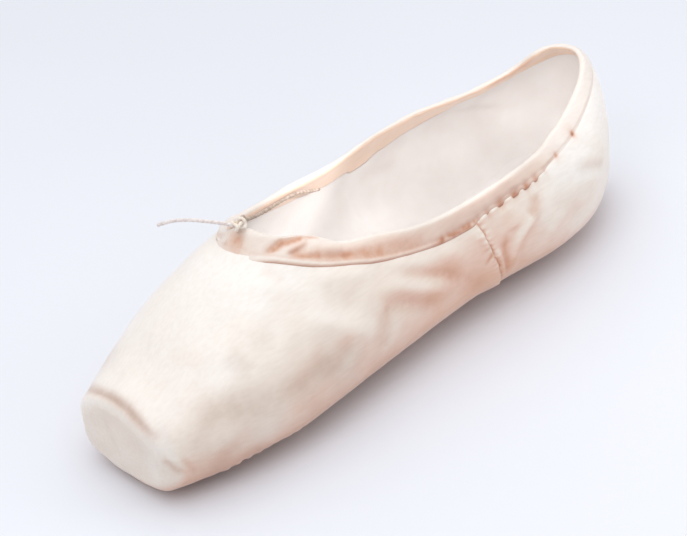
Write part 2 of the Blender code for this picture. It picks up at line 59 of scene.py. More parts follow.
# Drawstring, as in the CAD source
CORD_DIAMETER = 0.0012
KNOT_CORD_DIAMETER = 0.0011
KNOT_SCALE = 0.00075
KNOT_HEIGHT, KNOT_VALLEY = 1.4, 0.8
KNOT_LEAN, KNOT_TURN = 0.35, 0.52
CORD_ROUTES = {
    "drawstring_end_1": (
        (-0.0031, -0.0586, 0.0661),
        (-0.0085, -0.0590, 0.0650),
        (-0.0128, -0.0593, 0.0640),
        (-0.0172, -0.0597, 0.0629),
        (-0.0218, -0.0602, 0.0618),
        (-0.0263, -0.0607, 0.0604),
        (-0.0308, -0.0612, 0.0587),
        (-0.0350, -0.0617, 0.0567),
        (-0.0390, -0.0622, 0.0545),
    ),
    "drawstring_end_2": (
        (-0.0023, -0.0560, 0.0669),
        (-0.0044, -0.0534, 0.0660),
        (-0.0070, -0.0508, 0.0637),
        (-0.0104, -0.0476, 0.0600),
        (-0.0138, -0.0437, 0.0568),
        (-0.0165, -0.0395, 0.0543),
        (-0.0182, -0.0352, 0.0527),
        (-0.0191, -0.0298, 0.0520),
        (-0.0199, -0.0235, 0.0515),
        (-0.0206, -0.0190, 0.0508),
        (-0.0215, -0.0145, 0.0496),
        (-0.0231, -0.0083, 0.0466),
        (-0.0252, -0.0017, 0.0434),
    ),
}

# The last, as in the CAD source
LENGTH, BALL_WIDTH, INSTEP_HEIGHT, HEEL_HEIGHT = 0.236, 0.0716, 0.0674, 0.0600
BOX_WALL, QUARTER_WALL = 0.0030, 0.0012
BOX_STATIONS, BOX_DEPTHS = (0.22, 0.42), (0.004, 0.024)
SOLE_THICKNESS, SOLE_EDGE, INSOLE_THICKNESS = 0.0030, 0.0016, 0.0012
GAP, SEAT_GAP, MARGIN, INSOLE_MARGIN = 0.0003, 0.0005, 0.005, 0.0035
TOE_SPRING, TOE_SPRING_END = 0.0008, 0.15
ARCH_RISE, ARCH_START, ARCH_END = 0.0020, 0.42, 0.76
SOLE_FRONT, SOLE_BACK = 0.075, 0.957
SOLE_FRONT_ROUND, SOLE_BACK_ROUND, SOLE_END_CURVE = 0.075, 0.085, 2.4
SKIVE_SLOPE = 0.20
PLATFORM_ROUND = 0.0033
HEEL_START, HEEL_POLE = 0.80, 0.37
HEEL_PLAN_CURVE, HEEL_SIDE_CURVE, HEEL_TOP_CURVE = 2.05, 4.0, 3.5
THROAT_RISE, THROAT_RISE_WIDTH, THROAT_RISE_DEPTH = 0.0024, 0.0085, 0.008
SEAM_STATION, SEAM_HEIGHT, SEAM_LEAN = 0.587, 0.030, -0.31
SEAM_LOW, SEAM_STEP, SEAM_STEP_WIDTH, SEAM_FADE = 0.006, 0.0008, 0.0008, 0.012
SWELL, SWELL_DEPTH = 0.0012, 0.016
SWELL_STATIONS = (0.60, 0.70, 0.86, 0.96)
BAND_DEPTH, THROAT_REACH, THROAT_REACH_WIDTH = 0.0062, 0.55, 0.008
CORNER_ANGLE = -0.85

SECTION_COLUMNS = ("station", "half_width", "crown", "widest", "upper_curve", "lower_curve")
SECTIONS = (
    (0.00, 0.300, 0.451, 0.209, 2.55, 2.6),
    (0.05, 0.377, 0.515, 0.240, 2.35, 2.9),
    (0.12, 0.452, 0.656, 0.273, 2.13, 3.0),
    (0.20, 0.494, 0.829, 0.303, 1.92, 3.2),
    (0.28, 0.498, 0.948, 0.320, 1.74, 3.2),
    (0.40, 0.482, 1.000, 0.337, 1.71, 3.1),
    (0.52, 0.476, 0.995, 0.347, 1.83, 3.1),
    (0.64, 0.496, 0.975, 0.348, 2.06, 3.2),
    (0.76, 0.513, 0.878, 0.343, 2.00, 3.3),
    (0.88, 0.453, 0.912, 0.349, 1.73, 3.2),
    (1.00, 0.386, 1.045, 0.377, 2.33, 2.8),
)
COLLAR = (
    (0.265, 1.044), (0.33, 0.943), (0.40, 0.874), (0.50, 0.799), (0.62, 0.799),
    (0.74, 0.807), (0.85, 0.836), (0.93, 0.935), (1.00, 1.060),
)
OUTLINE = (
    (0.075, 0.255), (0.16, 0.305), (0.26, 0.342), (0.38, 0.300), (0.50, 0.218),
    (0.60, 0.192), (0.72, 0.215), (0.85, 0.262), (0.957, 0.262),
)


# Camera


def add_object(name, data):
    made = bpy.data.objects.new(name, data)
    bpy.context.scene.collection.objects.link(made)
    return made


def add_aimed(name, data, place, aim, roll=0.0):
    """A camera or a light at a place, turned to look at another."""
    made = add_object(name, data)
    look = Vector(aim) - Vector(place)
    made.location = place
    made.rotation_mode = "QUATERNION"
    made.rotation_quaternion = look.to_track_quat("-Z", "Y") @ Quaternion((0, 0, 1), roll)
    return made


def make_camera():
    data = bpy.data.cameras.new("camera")
    data.lens = CAMERA_LENS
    bpy.context.scene.camera = add_aimed("camera", data, CAMERA_PLACE, CAMERA_AIM, -CAMERA_ROLL)


make_camera()


# Curves and the last


def natural_curve(stations, values):
    """A function of the station: the natural cubic curve through the values."""
    x, y = np.asarray(stations, float), np.asarray(values, float)
    step = np.diff(x)
    matrix = np.eye(len(x))
    right = np.zeros(len(x))
    for i in range(1, len(x) - 1):
        matrix[i, i - 1:i + 2] = step[i - 1], 2 * (step[i - 1] + step[i]), step[i]
        right[i] = 6 * ((y[i + 1] - y[i]) / step[i] - (y[i] - y[i - 1]) / step[i - 1])
    bend = np.linalg.solve(matrix, right)

    def curve(station):
        at = np.clip(np.asarray(station, float), x[0], x[-1])
        i = np.clip(np.searchsorted(x, at) - 1, 0, len(x) - 2)
        a = (x[i + 1] - at) / step[i]
        b = 1 - a
        bent = ((a**3 - a) * bend[i] + (b**3 - b) * bend[i + 1]) * step[i] ** 2 / 6
        return a * y[i] + b * y[i + 1] + bent

    return curve


def column(table, index):
    return natural_curve([row[0] for row in table], [row[index] for row in table])


SECTION_CURVES = {name: column(SECTIONS, i) for i, name in enumerate(SECTION_COLUMNS) if i}
collar_share = column(COLLAR, 1)
outline_share = column(OUTLINE, 1)


def smooth(value, start, end):
    """0 at start, 1 at end, level at both."""
    t = np.clip((value - start) / (end - start), 0, 1)
    return t * t * (3 - 2 * t)


def fall(value, start, end):
    """1 at start, 0 at end, level at both."""
    return 1 - smooth(value, start, end)


def between(value, start, full, fade, end):
    """1 from full to fade, 0 before start and past end."""
    return smooth(value, start, full) * fall(value, fade, end)


def bell(value, width):
    """1 at 0, falling away on both sides."""
    return np.exp(-((value / width) ** 2))


def unit(vectors):
    return vectors / np.maximum(np.linalg.norm(vectors, axis=-1, keepdims=True), 1e-12)


def lengths(points):
    """Distance along a line of points, from 0."""
    return np.concatenate([[0], np.cumsum(np.linalg.norm(np.diff(points, axis=0), axis=1))])


def evenly(points, count):
    """As many points as wanted, evenly spaced along a line of points."""
    length = lengths(points)
    even = np.linspace(0, length[-1], count)
    return np.stack([np.interp(even, length, points[:, axis]) for axis in range(3)], axis=-1)


def closer_ends(first, last, count):
    """Values from first to last that lie closer together near both ends."""
    return first + (last - first) * (1 - np.cos(np.linspace(0, pi, count))) / 2


def smooth_route(points, spacing):
    """Points at an even spacing along a smooth curve through a few points."""
    points = np.array(points)
    length = lengths(points)
    curves = [natural_curve(length, points[:, axis]) for axis in range(3)]
    even = np.linspace(0, length[-1], max(int(length[-1] / spacing) + 1, 8))
    return np.stack([curve(even) for curve in curves], axis=-1)


def station_of(point):
    """Station of a point: 0 at the toe and 1 at the heel."""
    return point[..., 1] / LENGTH + 0.5


def section(station):
    """Half width, top, widest height, bottom and the two exponents of a cross section."""
    s = np.clip(station, 0, 0.99995)
    value = {name: curve(s) for name, curve in SECTION_CURVES.items()}
    t = np.clip((s - HEEL_START) / (1 - HEEL_START), 0, 1)
    narrow = (1 - t**HEEL_PLAN_CURVE) ** (1 / HEEL_PLAN_CURVE)
    close = (1 - t**HEEL_SIDE_CURVE) ** (1 / HEEL_SIDE_CURVE)
    lean = (1 - t**HEEL_TOP_CURVE) ** (1 / HEEL_TOP_CURVE)
    pole = HEEL_POLE * INSTEP_HEIGHT
    ahead = np.clip(PLATFORM_ROUND - s * LENGTH, 0, PLATFORM_ROUND)
    inset = PLATFORM_ROUND - np.sqrt(PLATFORM_ROUND**2 - ahead**2)
    bottom = floor_rise(s) + sole_depth(s) + GAP
    return (
        value["half_width"] * BALL_WIDTH * narrow - inset,
        pole + (value["crown"] * INSTEP_HEIGHT - pole) * lean - inset,
        pole + (value["widest"] * INSTEP_HEIGHT - pole) * close,
        pole - (pole - bottom) * close + inset,
        value["upper_curve"],
        value["lower_curve"],
    )


def floor_rise(station):
    """Height of the outsole's flat underside: toe spring in front and the arch's rise."""
    spring = TOE_SPRING * np.clip((TOE_SPRING_END - station) / (TOE_SPRING_END - SOLE_FRONT), 0, 1) ** 2
    t = np.clip((station - ARCH_START) / (ARCH_END - ARCH_START), 0, 1)
    return spring + ARCH_RISE * np.sin(pi * t) ** 2


def sole_depth(station):
    return SOLE_EDGE + (SOLE_THICKNESS - SOLE_EDGE) * smooth(station, SOLE_FRONT, TOE_SPRING_END)


def section_point(station, angle):
    """A point of the last's left half: angle runs from -90 below to +90 degrees on top."""
    half, top, widest, bottom, upper, lower = section(station)
    above = angle >= 0
    power = np.where(above, upper, lower)
    across = half * np.abs(np.cos(angle)) ** (2 / power)
    rise = np.abs(np.sin(angle)) ** (2 / power)
    height = np.where(above, widest + (top - widest) * rise, widest - (widest - bottom) * rise)
    along = (station - 0.5) * LENGTH + 0 * angle
    return np.stack([across, along, height], axis=-1)


def field(point):
    """0 on the last, negative inside it and positive outside."""
    half, top, widest, bottom, upper, lower = section(station_of(point))
    above = point[..., 2] > widest
    power = np.where(above, upper, lower)
    height = np.where(above, top - widest, widest - bottom)
    across = np.abs(point[..., 0]) / half
    up = np.abs(point[..., 2] - widest) / height
    return (across**power + up**power) ** (1 / power) - 1


def gradient(point, step=2e-5):
    slopes = []
    for axis in np.eye(3) * step:
        slopes.append((field(point + axis) - field(point - axis)) / (2 * step))
    return np.stack(slopes, axis=-1)


def normal(point):
    """Outward direction of the last at a point."""
    return unit(gradient(point))


LONGEST_MOVE = 0.0005


def settle(point, steps=8):
    """Move points near the last onto it."""
    for _ in range(steps):
        slope = gradient(point)
        steep = np.linalg.norm(slope, axis=-1)
        move = np.clip(field(point) / steep, -LONGEST_MOVE, LONGEST_MOVE)
        point = point - slope * (move / steep)[..., None]
    return point


# Collar, openings and distances


def collar_height(station):
    return collar_share(station) * HEEL_HEIGHT


def crossing(low, high):
    """Station between low and high where the crown passes through the collar's height."""
    rising = section(low)[1] < collar_height(low)
    for _ in range(50):
        middle = (low + high) / 2
        if (section(middle)[1] < collar_height(middle)) == rising:
            low = middle
        else:
            high = middle
    return (low + high) / 2


THROAT = crossing(0.24, 0.35)
COLLAR_BACK = crossing(0.90, 0.995)


def collar_angle(station):
    """Angle of the section at which the wall ends: the collar's edge or the ridge."""
    _, top, widest, _, upper, _ = section(station)
    share = np.clip((collar_height(station) - widest) / (top - widest), 0, 1)
    edge = np.arcsin(share ** (upper / 2))
    return np.where((station > THROAT) & (station < COLLAR_BACK), edge, pi / 2)


def collar_curve(count):
    """Evenly spaced points along the left half of the collar's edge, throat to heel."""
    station = closer_ends(THROAT, COLLAR_BACK, 900)
    points = section_point(station, collar_angle(station))
    points[0, 0] = points[-1, 0] = 0
    return evenly(points, count)


def outline(station, inset):
    """Half width of the outsole's outline, moved in by inset. 0 past its ends."""
    first, last = SOLE_FRONT + inset / LENGTH, SOLE_BACK - inset / LENGTH
    front = np.clip((first + SOLE_FRONT_ROUND - station) / SOLE_FRONT_ROUND, 0, 1)
    back = np.clip((station - last + SOLE_BACK_ROUND) / SOLE_BACK_ROUND, 0, 1)
    rounding = np.sqrt(1 - front**SOLE_END_CURVE) * np.sqrt(1 - back**SOLE_END_CURVE)
    return np.maximum(outline_share(station) * BALL_WIDTH - inset, 0) * rounding


def opening_angle(station):
    """Angle of the section at the edge of the opening underneath, or the keel."""
    half, _, _, _, _, lower = section(station)
    share = np.clip(outline(station, MARGIN) / half, 0, 1)
    return -np.arccos(share ** (lower / 2))


class Line:
    """A line of points, for measuring from."""

    def __init__(self, points):
        self.points = points
        self.length = lengths(points)
        self.tree = KDTree(len(points))
        for i, point in enumerate(points):
            self.tree.insert(point, i)
        self.tree.balance()

    def nearest(self, points):
        """Distance of points from the line, and where along it the nearest place is."""
        found = [self.tree.find(point)[1:] for point in points.reshape(-1, 3)]
        index, apart = np.array(found).T
        along = self.length[index.astype(int)]
        return apart.reshape(points.shape[:-1]), along.reshape(points.shape[:-1])


COLLAR_POINTS = 1200
COLLAR_LINE = Line(collar_curve(COLLAR_POINTS))
COLLAR_LENGTH = COLLAR_LINE.length[-1]


def left_half(point):
    return np.stack([np.abs(point[..., 0]), point[..., 1], point[..., 2]], axis=-1)


def wall(point, depth):
    """Thickness of the upper: stiff in the box and along the sole, thin at the collar."""
    station = station_of(point)
    box = fall(station, *BOX_STATIONS)
    return QUARTER_WALL + (BOX_WALL - QUARTER_WALL) * box * smooth(depth, *BOX_DEPTHS)


def seam_offset(point):
    """Distance behind the side seam, which leans forward as it rises."""
    return point[..., 1] - (SEAM_STATION - 0.5) * LENGTH - SEAM_LEAN * (point[..., 2] - SEAM_HEIGHT)


def lift(point, depth):
    """How far the satin stands off the last, as in the CAD source."""
    station = station_of(point)
    throat = THROAT_RISE * bell(point[..., 0], THROAT_RISE_WIDTH) * bell(depth, THROAT_RISE_DEPTH)
    throat = np.where(station < 0.5, throat, 0)
    ahead = SEAM_STEP_WIDTH / 4 - seam_offset(point)
    seam = SEAM_STEP * smooth(ahead, 0, SEAM_STEP_WIDTH) * fall(ahead, SEAM_STEP_WIDTH, SEAM_FADE)
    seam = seam * smooth(depth, BAND_DEPTH, 1.6 * BAND_DEPTH)
    seam = seam * smooth(point[..., 2], SEAM_LOW, 2 * SEAM_LOW)
    full = between(station, *SWELL_STATIONS)
    return throat + seam + SWELL * full * bell(depth - SWELL_DEPTH, 0.6 * SWELL_DEPTH)


# Folds and gathers


# A fold is its rise, width, crease, grey shade and the points of a line, in millimetres. Rise is the
# height, below 0 for a trough, width the half width, crease how dark it is and grey shade how grey:
# both are painted shade in and beside the folds, apart from the dark lines of the side seam.
SATIN_FOLDS = (
    # the side of the vamp that the photograph shows
    (-0.35, 2.2, 0.35, 0, ((30, -21.4, 40.7), (31.8, -11.8, 35.8), (33.2, -1.5, 30.3), (34, 7.2, 24.7))),
    (-0.30, 4.5, 0.35, 0, ((31.8, -8, 35), (33.6, 3, 27), (34.1, 12, 19), (33, 16, 12))),
    (-0.38, 3.6, 0.40, 0.10, (
        (31.8, -33.2, 36.6), (33.4, -23.7, 30.7), (33.9, -15.1, 26.1), (34, -5.9, 20.8),
    )),
    (-0.28, 4.6, 0.22, 0.12, ((32.8, -31.5, 34), (34, -31.5, 28.5), (34.7, -33, 24), (34.5, -32, 19))),
    (0.95, 3.2, 0, 0, ((30.8, -29.5, 38.9), (31.6, -23.5, 36.6), (33.1, -13.7, 31), (33.9, -0.4, 23.9))),
    (0.90, 4, 0, 0, ((27.4, -61.5, 43.9), (31.2, -52.8, 38.5), (33.8, -42.9, 31.2), (34.5, -36, 25.5))),
    (0.70, 4.5, 0, 0, ((28.4, -26.4, 44), (30.6, -10.2, 39.2), (32.1, 2.8, 35.7), (33.3, 11, 32.5))),
    (-0.25, 5, 0.06, 0.12, ((26.9, -52, 45.9), (29.8, -42, 41.5), (31, -35, 38.5))),
    (-0.30, 5.5, 0.08, 0.42, (
        (19.3, -109.2, 28.5), (27.1, -95.4, 29.4), (33, -80.3, 27.5), (34.7, -60.2, 27.6),
        (35, -40.3, 25),
    )),
    (-0.22, 3.8, 0, 0.20, ((19.7, -86.4, 42.4), (23.5, -84.8, 39.2), (27, -82, 35.5))),
    (-0.22, 3.4, 0, 0.12, ((24, -80, 42), (25, -76.5, 41.8), (27.5, -72, 40))),
    (-0.25, 2.6, 0.08, 0.10, ((12, -62.5, 57.3), (15.2, -61, 55.7), (19.7, -59.3, 52.7))),
    (0.45, 3, 0, 0, ((11.5, -67, 55.5), (16, -65, 54.5), (21.5, -61, 52))),
    (0.50, 3.5, 0, 0, ((22, -50, 51.5), (25.5, -40, 48), (28, -30, 44.5))),
    (0.40, 6, 0, 0, ((-16, -97, 36.5), (-4, -94, 40.6), (8, -92, 41), (16, -92, 39.5))),
    # the side seam and the quarter that the photograph shows
    (-0.30, 0.8, 1.1, 0, ((34.4, 21.6, 28.2), (34.8, 19.8, 27), (35, 18.1, 25.7), (35, 16.8, 24.2))),
    (0.60, 1.6, 0, 0, ((33, 16, 38), (34, 17.6, 34), (34.4, 19, 30))),
    (-0.35, 2, 0.75, 0, ((34.6, 29, 31.5), (35, 26.8, 26.3), (35, 27, 21.1), (34, 28, 15))),
    (0.80, 1.3, 0, 0, ((34.4, 23.2, 28), (35, 24.8, 22), (34.4, 26.2, 15))),
    (1.00, 2.2, 0, 0, (
        (35.1, 31, 15), (35.7, 32.2, 24), (36.1, 36, 28.5), (36.4, 42.5, 33), (35.8, 48.5, 36.6),
    )),
    (-0.38, 3, 0.55, 0.2, ((34.2, 44, 40), (35.6, 43.8, 36.6), (35.8, 39.5, 33))),
    (0.50, 3, 0, 0, ((31.8, 31, 41), (33.6, 32, 36.5), (34.6, 32.5, 31))),
    (-0.35, 1.9, 0.12, 0.30, ((33.9, 67.7, 37.1), (33.5, 74, 35.6), (31.7, 83.9, 31.4), (29, 91, 28.5))),
    (0.60, 2, 0, 0, ((32.4, 68, 40.5), (31.7, 75, 38.8), (29.6, 84, 35.5))),
    (0.55, 2.4, 0, 0, ((35.2, 63, 34), (34.4, 73, 31.5), (32, 83, 27))),
    (-0.25, 3.4, 0.08, 0.08, ((35.8, 52, 35), (36.3, 57, 31), (36.4, 62, 26), (35, 68, 19))),
    (0.45, 3.2, 0, 0, ((36, 47, 20), (36.9, 54, 25), (36, 62, 31))),
    (0.40, 2.6, 0, 0, ((25, 86, 44), (26, 89, 38), (26.5, 91, 30))),
    # the toe
    (-0.55, 1.7, 0.35, 0.80, (
        (-23, -111.5, 20.5), (-20.5, -113, 25), (-16.5, -114.3, 28.4), (-6.4, -114.9, 31.4),
        (1.5, -115.2, 31.6), (9.5, -115.9, 30), (15.5, -115.9, 27.4), (19.5, -114, 25),
    )),
    (-0.45, 1, 0.35, 0.2, ((20.2, -116.6, 21), (22.2, -115.2, 17.5), (23.6, -112.9, 13.5))),
    (0.40, 0.9, 0, 0, ((21.6, -115.6, 21.5), (23.4, -113.6, 18.2), (24.4, -111.4, 14))),
    (-0.45, 0.9, 0.40, 0.1, ((23.2, -112.6, 19.5), (24.4, -110.6, 16), (25, -109, 11.5))),
    (-0.20, 1.6, 0.05, 0.1, ((-6, -118, 24), (-4, -118, 17), (0, -117.9, 10))),
    # the hidden side
    (0.70, 4.5, 0, 0, ((-31, -24, 36.5), (-33.5, -8, 27), (-34, 7, 17))),
    (-0.30, 3.5, 0.30, 0, ((-29.5, -20, 41.5), (-32.6, -3, 31), (-33.6, 10, 21))),
    (0.60, 5, 0, 0, ((-33.4, -42, 27), (-34.4, -28, 18), (-33, -12, 10.5))),
    (-0.30, 5.5, 0.12, 0.45, ((-20, -109, 28), (-28, -94, 29), (-33, -78, 27.5), (-34.7, -58, 26))),
    (0.80, 1.3, 0, 0, ((-34, 22, 29), (-35, 24.6, 21.5), (-33.8, 26.4, 14))),
    (-0.30, 2.4, 0.60, 0, ((-34.8, 26.8, 30), (-35, 28.6, 20), (-32.8, 30.4, 12))),
    (0.80, 3.2, 0, 0, ((-34.7, 33, 13), (-36.2, 40, 23), (-36, 49, 32))),
    (-0.30, 3, 0.40, 0.2, ((-33.8, 42, 41), (-35, 47, 37.5), (-36, 54, 30))),
    (0.60, 2.8, 0, 0, ((-35.6, 55, 19), (-36.2, 63, 27), (-33.5, 73, 34))),
    (-0.30, 2, 0, 0.5, ((-33, 62, 41), (-34, 71, 36), (-31, 84, 30))),
    (0.50, 2.6, 0, 0, ((-24.5, 87, 44), (-25.5, 90, 38), (-26.5, 91, 30))),
)
# The lining's side seams, whose dark grey lines are their own, and its folds, whose troughs are greyed with
# painted shade; rows as in the satin's table
LINING_SEAM = (
    (31.1, 13.5, 39), (32.2, 16.5, 34.5), (33.3, 20.1, 29.4),
    (33.6, 27, 19.3), (30.1, 30.5, 11.3), (26, 32.5, 8),
)
LINING_FOLDS = (
    *((-0.28, 0.45, 0.35, 1, [(side * x, y, z) for x, y, z in LINING_SEAM]) for side in (-1, 1)),
    (-0.25, 1.4, 0, 0.25, (
        (-30.5, 72, 38.5), (-30.2, 80, 36.8), (-27.6, 90, 34.6), (-24.8, 95.6, 32.9),
        (-19.5, 104.3, 30.6),
    )),
    (0.30, 1.6, 0, 0, ((-31, 71, 41.5), (-29.8, 82, 39.3), (-24.5, 96, 36))),
    (-0.30, 2.4, 0, 0.35, ((-32.5, 24, 33), (-34, 38, 29), (-34.5, 50, 27))),
    (0.30, 2, 0, 0, ((31, 60, 42), (31.5, 75, 34), (27, 92, 26))),
)

# Gathers below the binding: distance along the collar from the throat, strength and half width
GATHERS = {
    1: (
        (87.0, 0.8, 0.9), (91.5, 0.9, 1.0), (98.0, 1.4, 1.8), (105.2, 1.5, 1.7), (111.0, 1.4, 1.4),
        (116.0, 1.0, 1.2), (121.5, 0.4, 1.0),
    ),
    -1: (
        (88.0, 1.1, 0.9), (93.0, 0.9, 0.8), (98.5, 1.2, 0.9), (103.0, 0.9, 0.8), (108.5, 1.3, 0.9),
        (113.0, 0.9, 0.7), (119.5, 0.8, 0.9),
    ),
}
PLEAT_SPACING, PLEAT_RISE = 0.0031, 0.0007
PLEATED_LENGTH = 0.22
# Of a fold's line: spacing of its points, and how many half widths away it still counts
FOLD_SPACING, FOLD_REACH = 0.5, 2.6


def gentle(along, table):
    """Values of a table at places along the collar, its corners rounded off."""
    return sum(np.interp(along + step, *zip(*table)) for step in (-2, -1, 0, 1, 2)) / 5


def ripple(point, size, seed, waves=18):
    """Soft random relief, about -1 to 1, whose bumps are about size across."""
    random = np.random.default_rng(seed)
    way = unit(random.normal(size=(waves, 3))) * (pi / size * random.uniform(0.5, 1.3, waves))[:, None]
    phase = random.uniform(0, 2 * pi, waves)
    total = np.zeros(point.shape[:-1])
    for direction, start in zip(way, phase):
        total += np.cos(point @ direction + start)
    return total / np.sqrt(2 * waves)


def folds(point, table):
    """Relief of a table of folds at points, and how dark and how grey their painted shade, or a seam's own
    dark line, makes each point.
    """
    flat = point.reshape(-1, 3)
    sums = np.zeros((len(flat), 3))
    for rise, width, crease, grey_shade_and_wear, way in table:
        line = Line(smooth_route(np.array(way) * MM, FOLD_SPACING * MM))
        reach = FOLD_REACH * width * MM
        low, high = line.points.min(axis=0) - reach, line.points.max(axis=0) + reach
        near = np.flatnonzero(((flat > low) & (flat < high)).all(axis=1))
        if not len(near):
            continue
        apart, along = line.nearest(flat[near])
        share = along / line.length[-1]
        height = bell(apart, width * MM) * smooth(share, -0.05, 0.25) * fall(share, 0.75, 1.05)
        sums[near] += height[:, None] * (rise * MM, crease, grey_shade_and_wear)
    return tuple(sums.T.reshape(3, *point.shape[:-1]))


def gathers(arc, side, widen=1.0):
    """How far in a pucker of the gathered quarter places along the collar are, on one side."""
    return sum(strength * bell(arc - place, widen * width) for place, strength, width in GATHERS[side])


def hole_marks(arc, depth, side):
    """How dark the painted shade in and round the small holes makes places on one side, and how near a hole
    each place is.
    """
    dark, near = 0.0, 0.0
    for place, deep, width, strength in HOLES[side]:
        spot = np.hypot(arc - place, depth - deep)
        dark = dark + strength * bell(spot, width) + 0.3 * bell(spot, 3 * width)
        near = near + bell(spot, width)
    return dark, near


def sole_line():
    """Evenly spaced points along the outsole's outline, at the keel, from the toe to the waist."""
    stations = SOLE_FRONT + PLEATED_LENGTH * np.linspace(0, 1, 240) ** 2
    return evenly(keel_point(stations, outline(stations, 0)), 300)


def keel_point(station, across):
    """A point of the last's underside."""
    half, _, widest, bottom, _, lower = section(station)
    share = np.clip(across / half, 0, 1)
    height = widest - (widest - bottom) * (1 - share**lower) ** (1 / lower)
    along = (station - 0.5) * LENGTH + 0 * across
    return np.stack([across, along, height], axis=-1)


# Along the collar, in metres: where the quarter's satin is drawn tight and where it is gathered
SATIN_TIGHT = (0.084, 0.088, 0.119, 0.126)
SATIN_GATHERED = (0.084, 0.090, COLLAR_LENGTH - 0.012, COLLAR_LENGTH - 0.002)
PUCKER_DEPTH, TIGHT_RISE, GATHERED_RISE = 0.0010, 0.00060, 0.00015
SEAM_RELIEF, SEAM_STITCH = 0.0003, 0.0021
CREASE_LIMIT = 2.4
LEAST_SATIN = 0.0002


def quarter_gathers(point, along, below, under):
    """Relief of the quarter's puckers, which run out below the binding, and the painted shade in them."""
    reach = 0.0013 + 0.0012 * (0.5 + 0.5 * ripple(point * (1, 1, 0), 0.012, 11))
    fall = under * np.exp(-np.maximum(below - BAND_DEPTH, 0) / reach)
    behind = point[..., 1] > 0
    tight = np.where(behind, between(along, *SATIN_TIGHT), 0)
    gathered = np.where(behind, between(along, *SATIN_GATHERED), 0)
    pucker = np.zeros(along.shape)
    for side in GATHERS:
        pucker += np.where(point[..., 0] * side > 0, gathers(along / MM, side), 0)
    drawn = tight * TIGHT_RISE + gathered * GATHERED_RISE
    relief = fall * (drawn - gathered * PUCKER_DEPTH * np.minimum(pucker, 1.3))
    return relief, 0.8 * fall * gathered * pucker


def side_seam(point, under):
    """Relief and crease of the side seam, puckered by its stitches."""
    height = point[..., 2]
    seam = seam_offset(point)
    upright = under * smooth(height, 0.004, 0.009)
    wobble = 0.0003 * np.sin(height / 0.0011) + 0.0002 * np.sin(height / 0.00047)
    stitch = 0.55 + 0.45 * np.cos(2 * pi * height / SEAM_STITCH + 2 * np.sin(height / 0.004))
    groove = bell(seam - 0.0003 - wobble, 0.0004)
    relief = upright * SEAM_RELIEF * (bell(seam, 0.0022) * (stitch - 0.5) - groove)
    dark = (0.5 + 1.2 * smooth(height, 0.012, 0.026)) * (0.65 + 0.35 * stitch)
    return relief, upright * dark * bell(seam - 0.0002 - wobble, 0.00042)


def toe_pleats(point):
    """Relief of the toe's small pleats, gathered under the outsole, and painted shade between them."""
    apart, around = SOLE_LINE.nearest(left_half(point))
    front = fall(around, 0.036, 0.052) * fall(point[..., 2], 0.008, 0.015)
    front *= 0.75 + 0.45 * np.sin(around / 0.0037 + point[..., 0] / 0.019)
    phase = around / PLEAT_SPACING + 0.35 * np.sin(around / 0.0041) + 0.15 * np.sign(point[..., 0])
    pleat = np.abs(np.sin(pi * phase)) ** 0.7
    front *= between(apart, -0.001, 0.001, 0.008, 0.017)
    return PLEAT_RISE * front * (pleat - 0.35), 0.6 * front * bell(pleat, 0.35)


def satin_relief(point, depth, along, thick):
    """Relief of the satin over the last, away from the lift, and its looks: how deep in a crease,
    painted shade in folds, gathers, pleats and holes beside the seam's own dark line; how grey,
    painted shade and a few random stains; and how much lighter each point is, painted light."""
    station = station_of(point)
    box = fall(station, 0.30, 0.55)
    below = depth - gentle(along / MM, EDGE_DROP) * MM
    under = smooth(below, 0.0052, 0.0066)
    relief, crease, grey_shade_and_wear = folds(point, SATIN_FOLDS)
    relief = relief * smooth(below, 0.0034, 0.0070)
    made = (quarter_gathers(point, along, below, under), side_seam(point, under), toe_pleats(point))
    for rise, dark in made:
        relief += rise
        crease += dark
    for side in HOLES:
        crease += np.where(point[..., 0] * side > 0, hole_marks(along / MM, depth / MM, side)[0], 0)

    # small unevenness: where it is, its height, the size of its bumps, their stretch and a seed
    for where, height, size, stretch, seed in (
        (box * smooth(depth, 0.008, 0.02), 0.00030, 0.013, 1, 5),
        (box * smooth(depth, 0.006, 0.02), 0.00016, 0.0055, 1, 6),
        ((1 - box) * under, 0.00022, 0.008, 0.6, 7),
        (fall(station, 0.0, 0.045), 0.00022, 0.005, 0.5, 8),
    ):
        relief += where * height * ripple(point * (1, stretch, 1), size, seed)
    relief = np.maximum(relief, LEAST_SATIN - SATIN_BACK * thick)

    # Painted shade greys the lower flank of the box and vamp and the toe's front, beside random stains on the
    # box; painted light makes the platform, the box's front, the quarter, the heel and a little of the flank
    # lighter
    flank = fall(point[..., 1], -0.055, -0.010) * fall(point[..., 2], 0.010, 0.034)
    flank *= smooth(station, 0.02, 0.08)
    stain = smooth(0.5 * ripple(point, 0.016, 9) + 0.5, 0.2, 0.9) * smooth(depth, 0.01, 0.03)
    grey_shade_and_wear += 0.10 * box * stain + 0.16 * fall(station, 0.05, 0.17) + 0.30 * flank
    light = 0.34 * fall(station, 0.012, 0.03) + 0.10 * fall(station, 0.15, 0.42)
    light += 0.31 * smooth(station, 0.60, 0.72) + 0.08 * smooth(station, 0.80, 0.95) + 0.14 * flank
    return relief, np.stack([np.clip(crease, 0, CREASE_LIMIT), np.clip(grey_shade_and_wear, 0, 1), light], axis=-1)


# Grids over the last


def spans(*pieces):
    """Stations of the rows: each piece is (start, end, count), and the last end closes them."""
    rows = [np.linspace(start, end, count, endpoint=False) for start, end, count in pieces]
    return np.concatenate([*rows, [pieces[-1][1]]])


def heel_turn(station):
    return np.arcsin((station - HEEL_START) / (1 - HEEL_START))


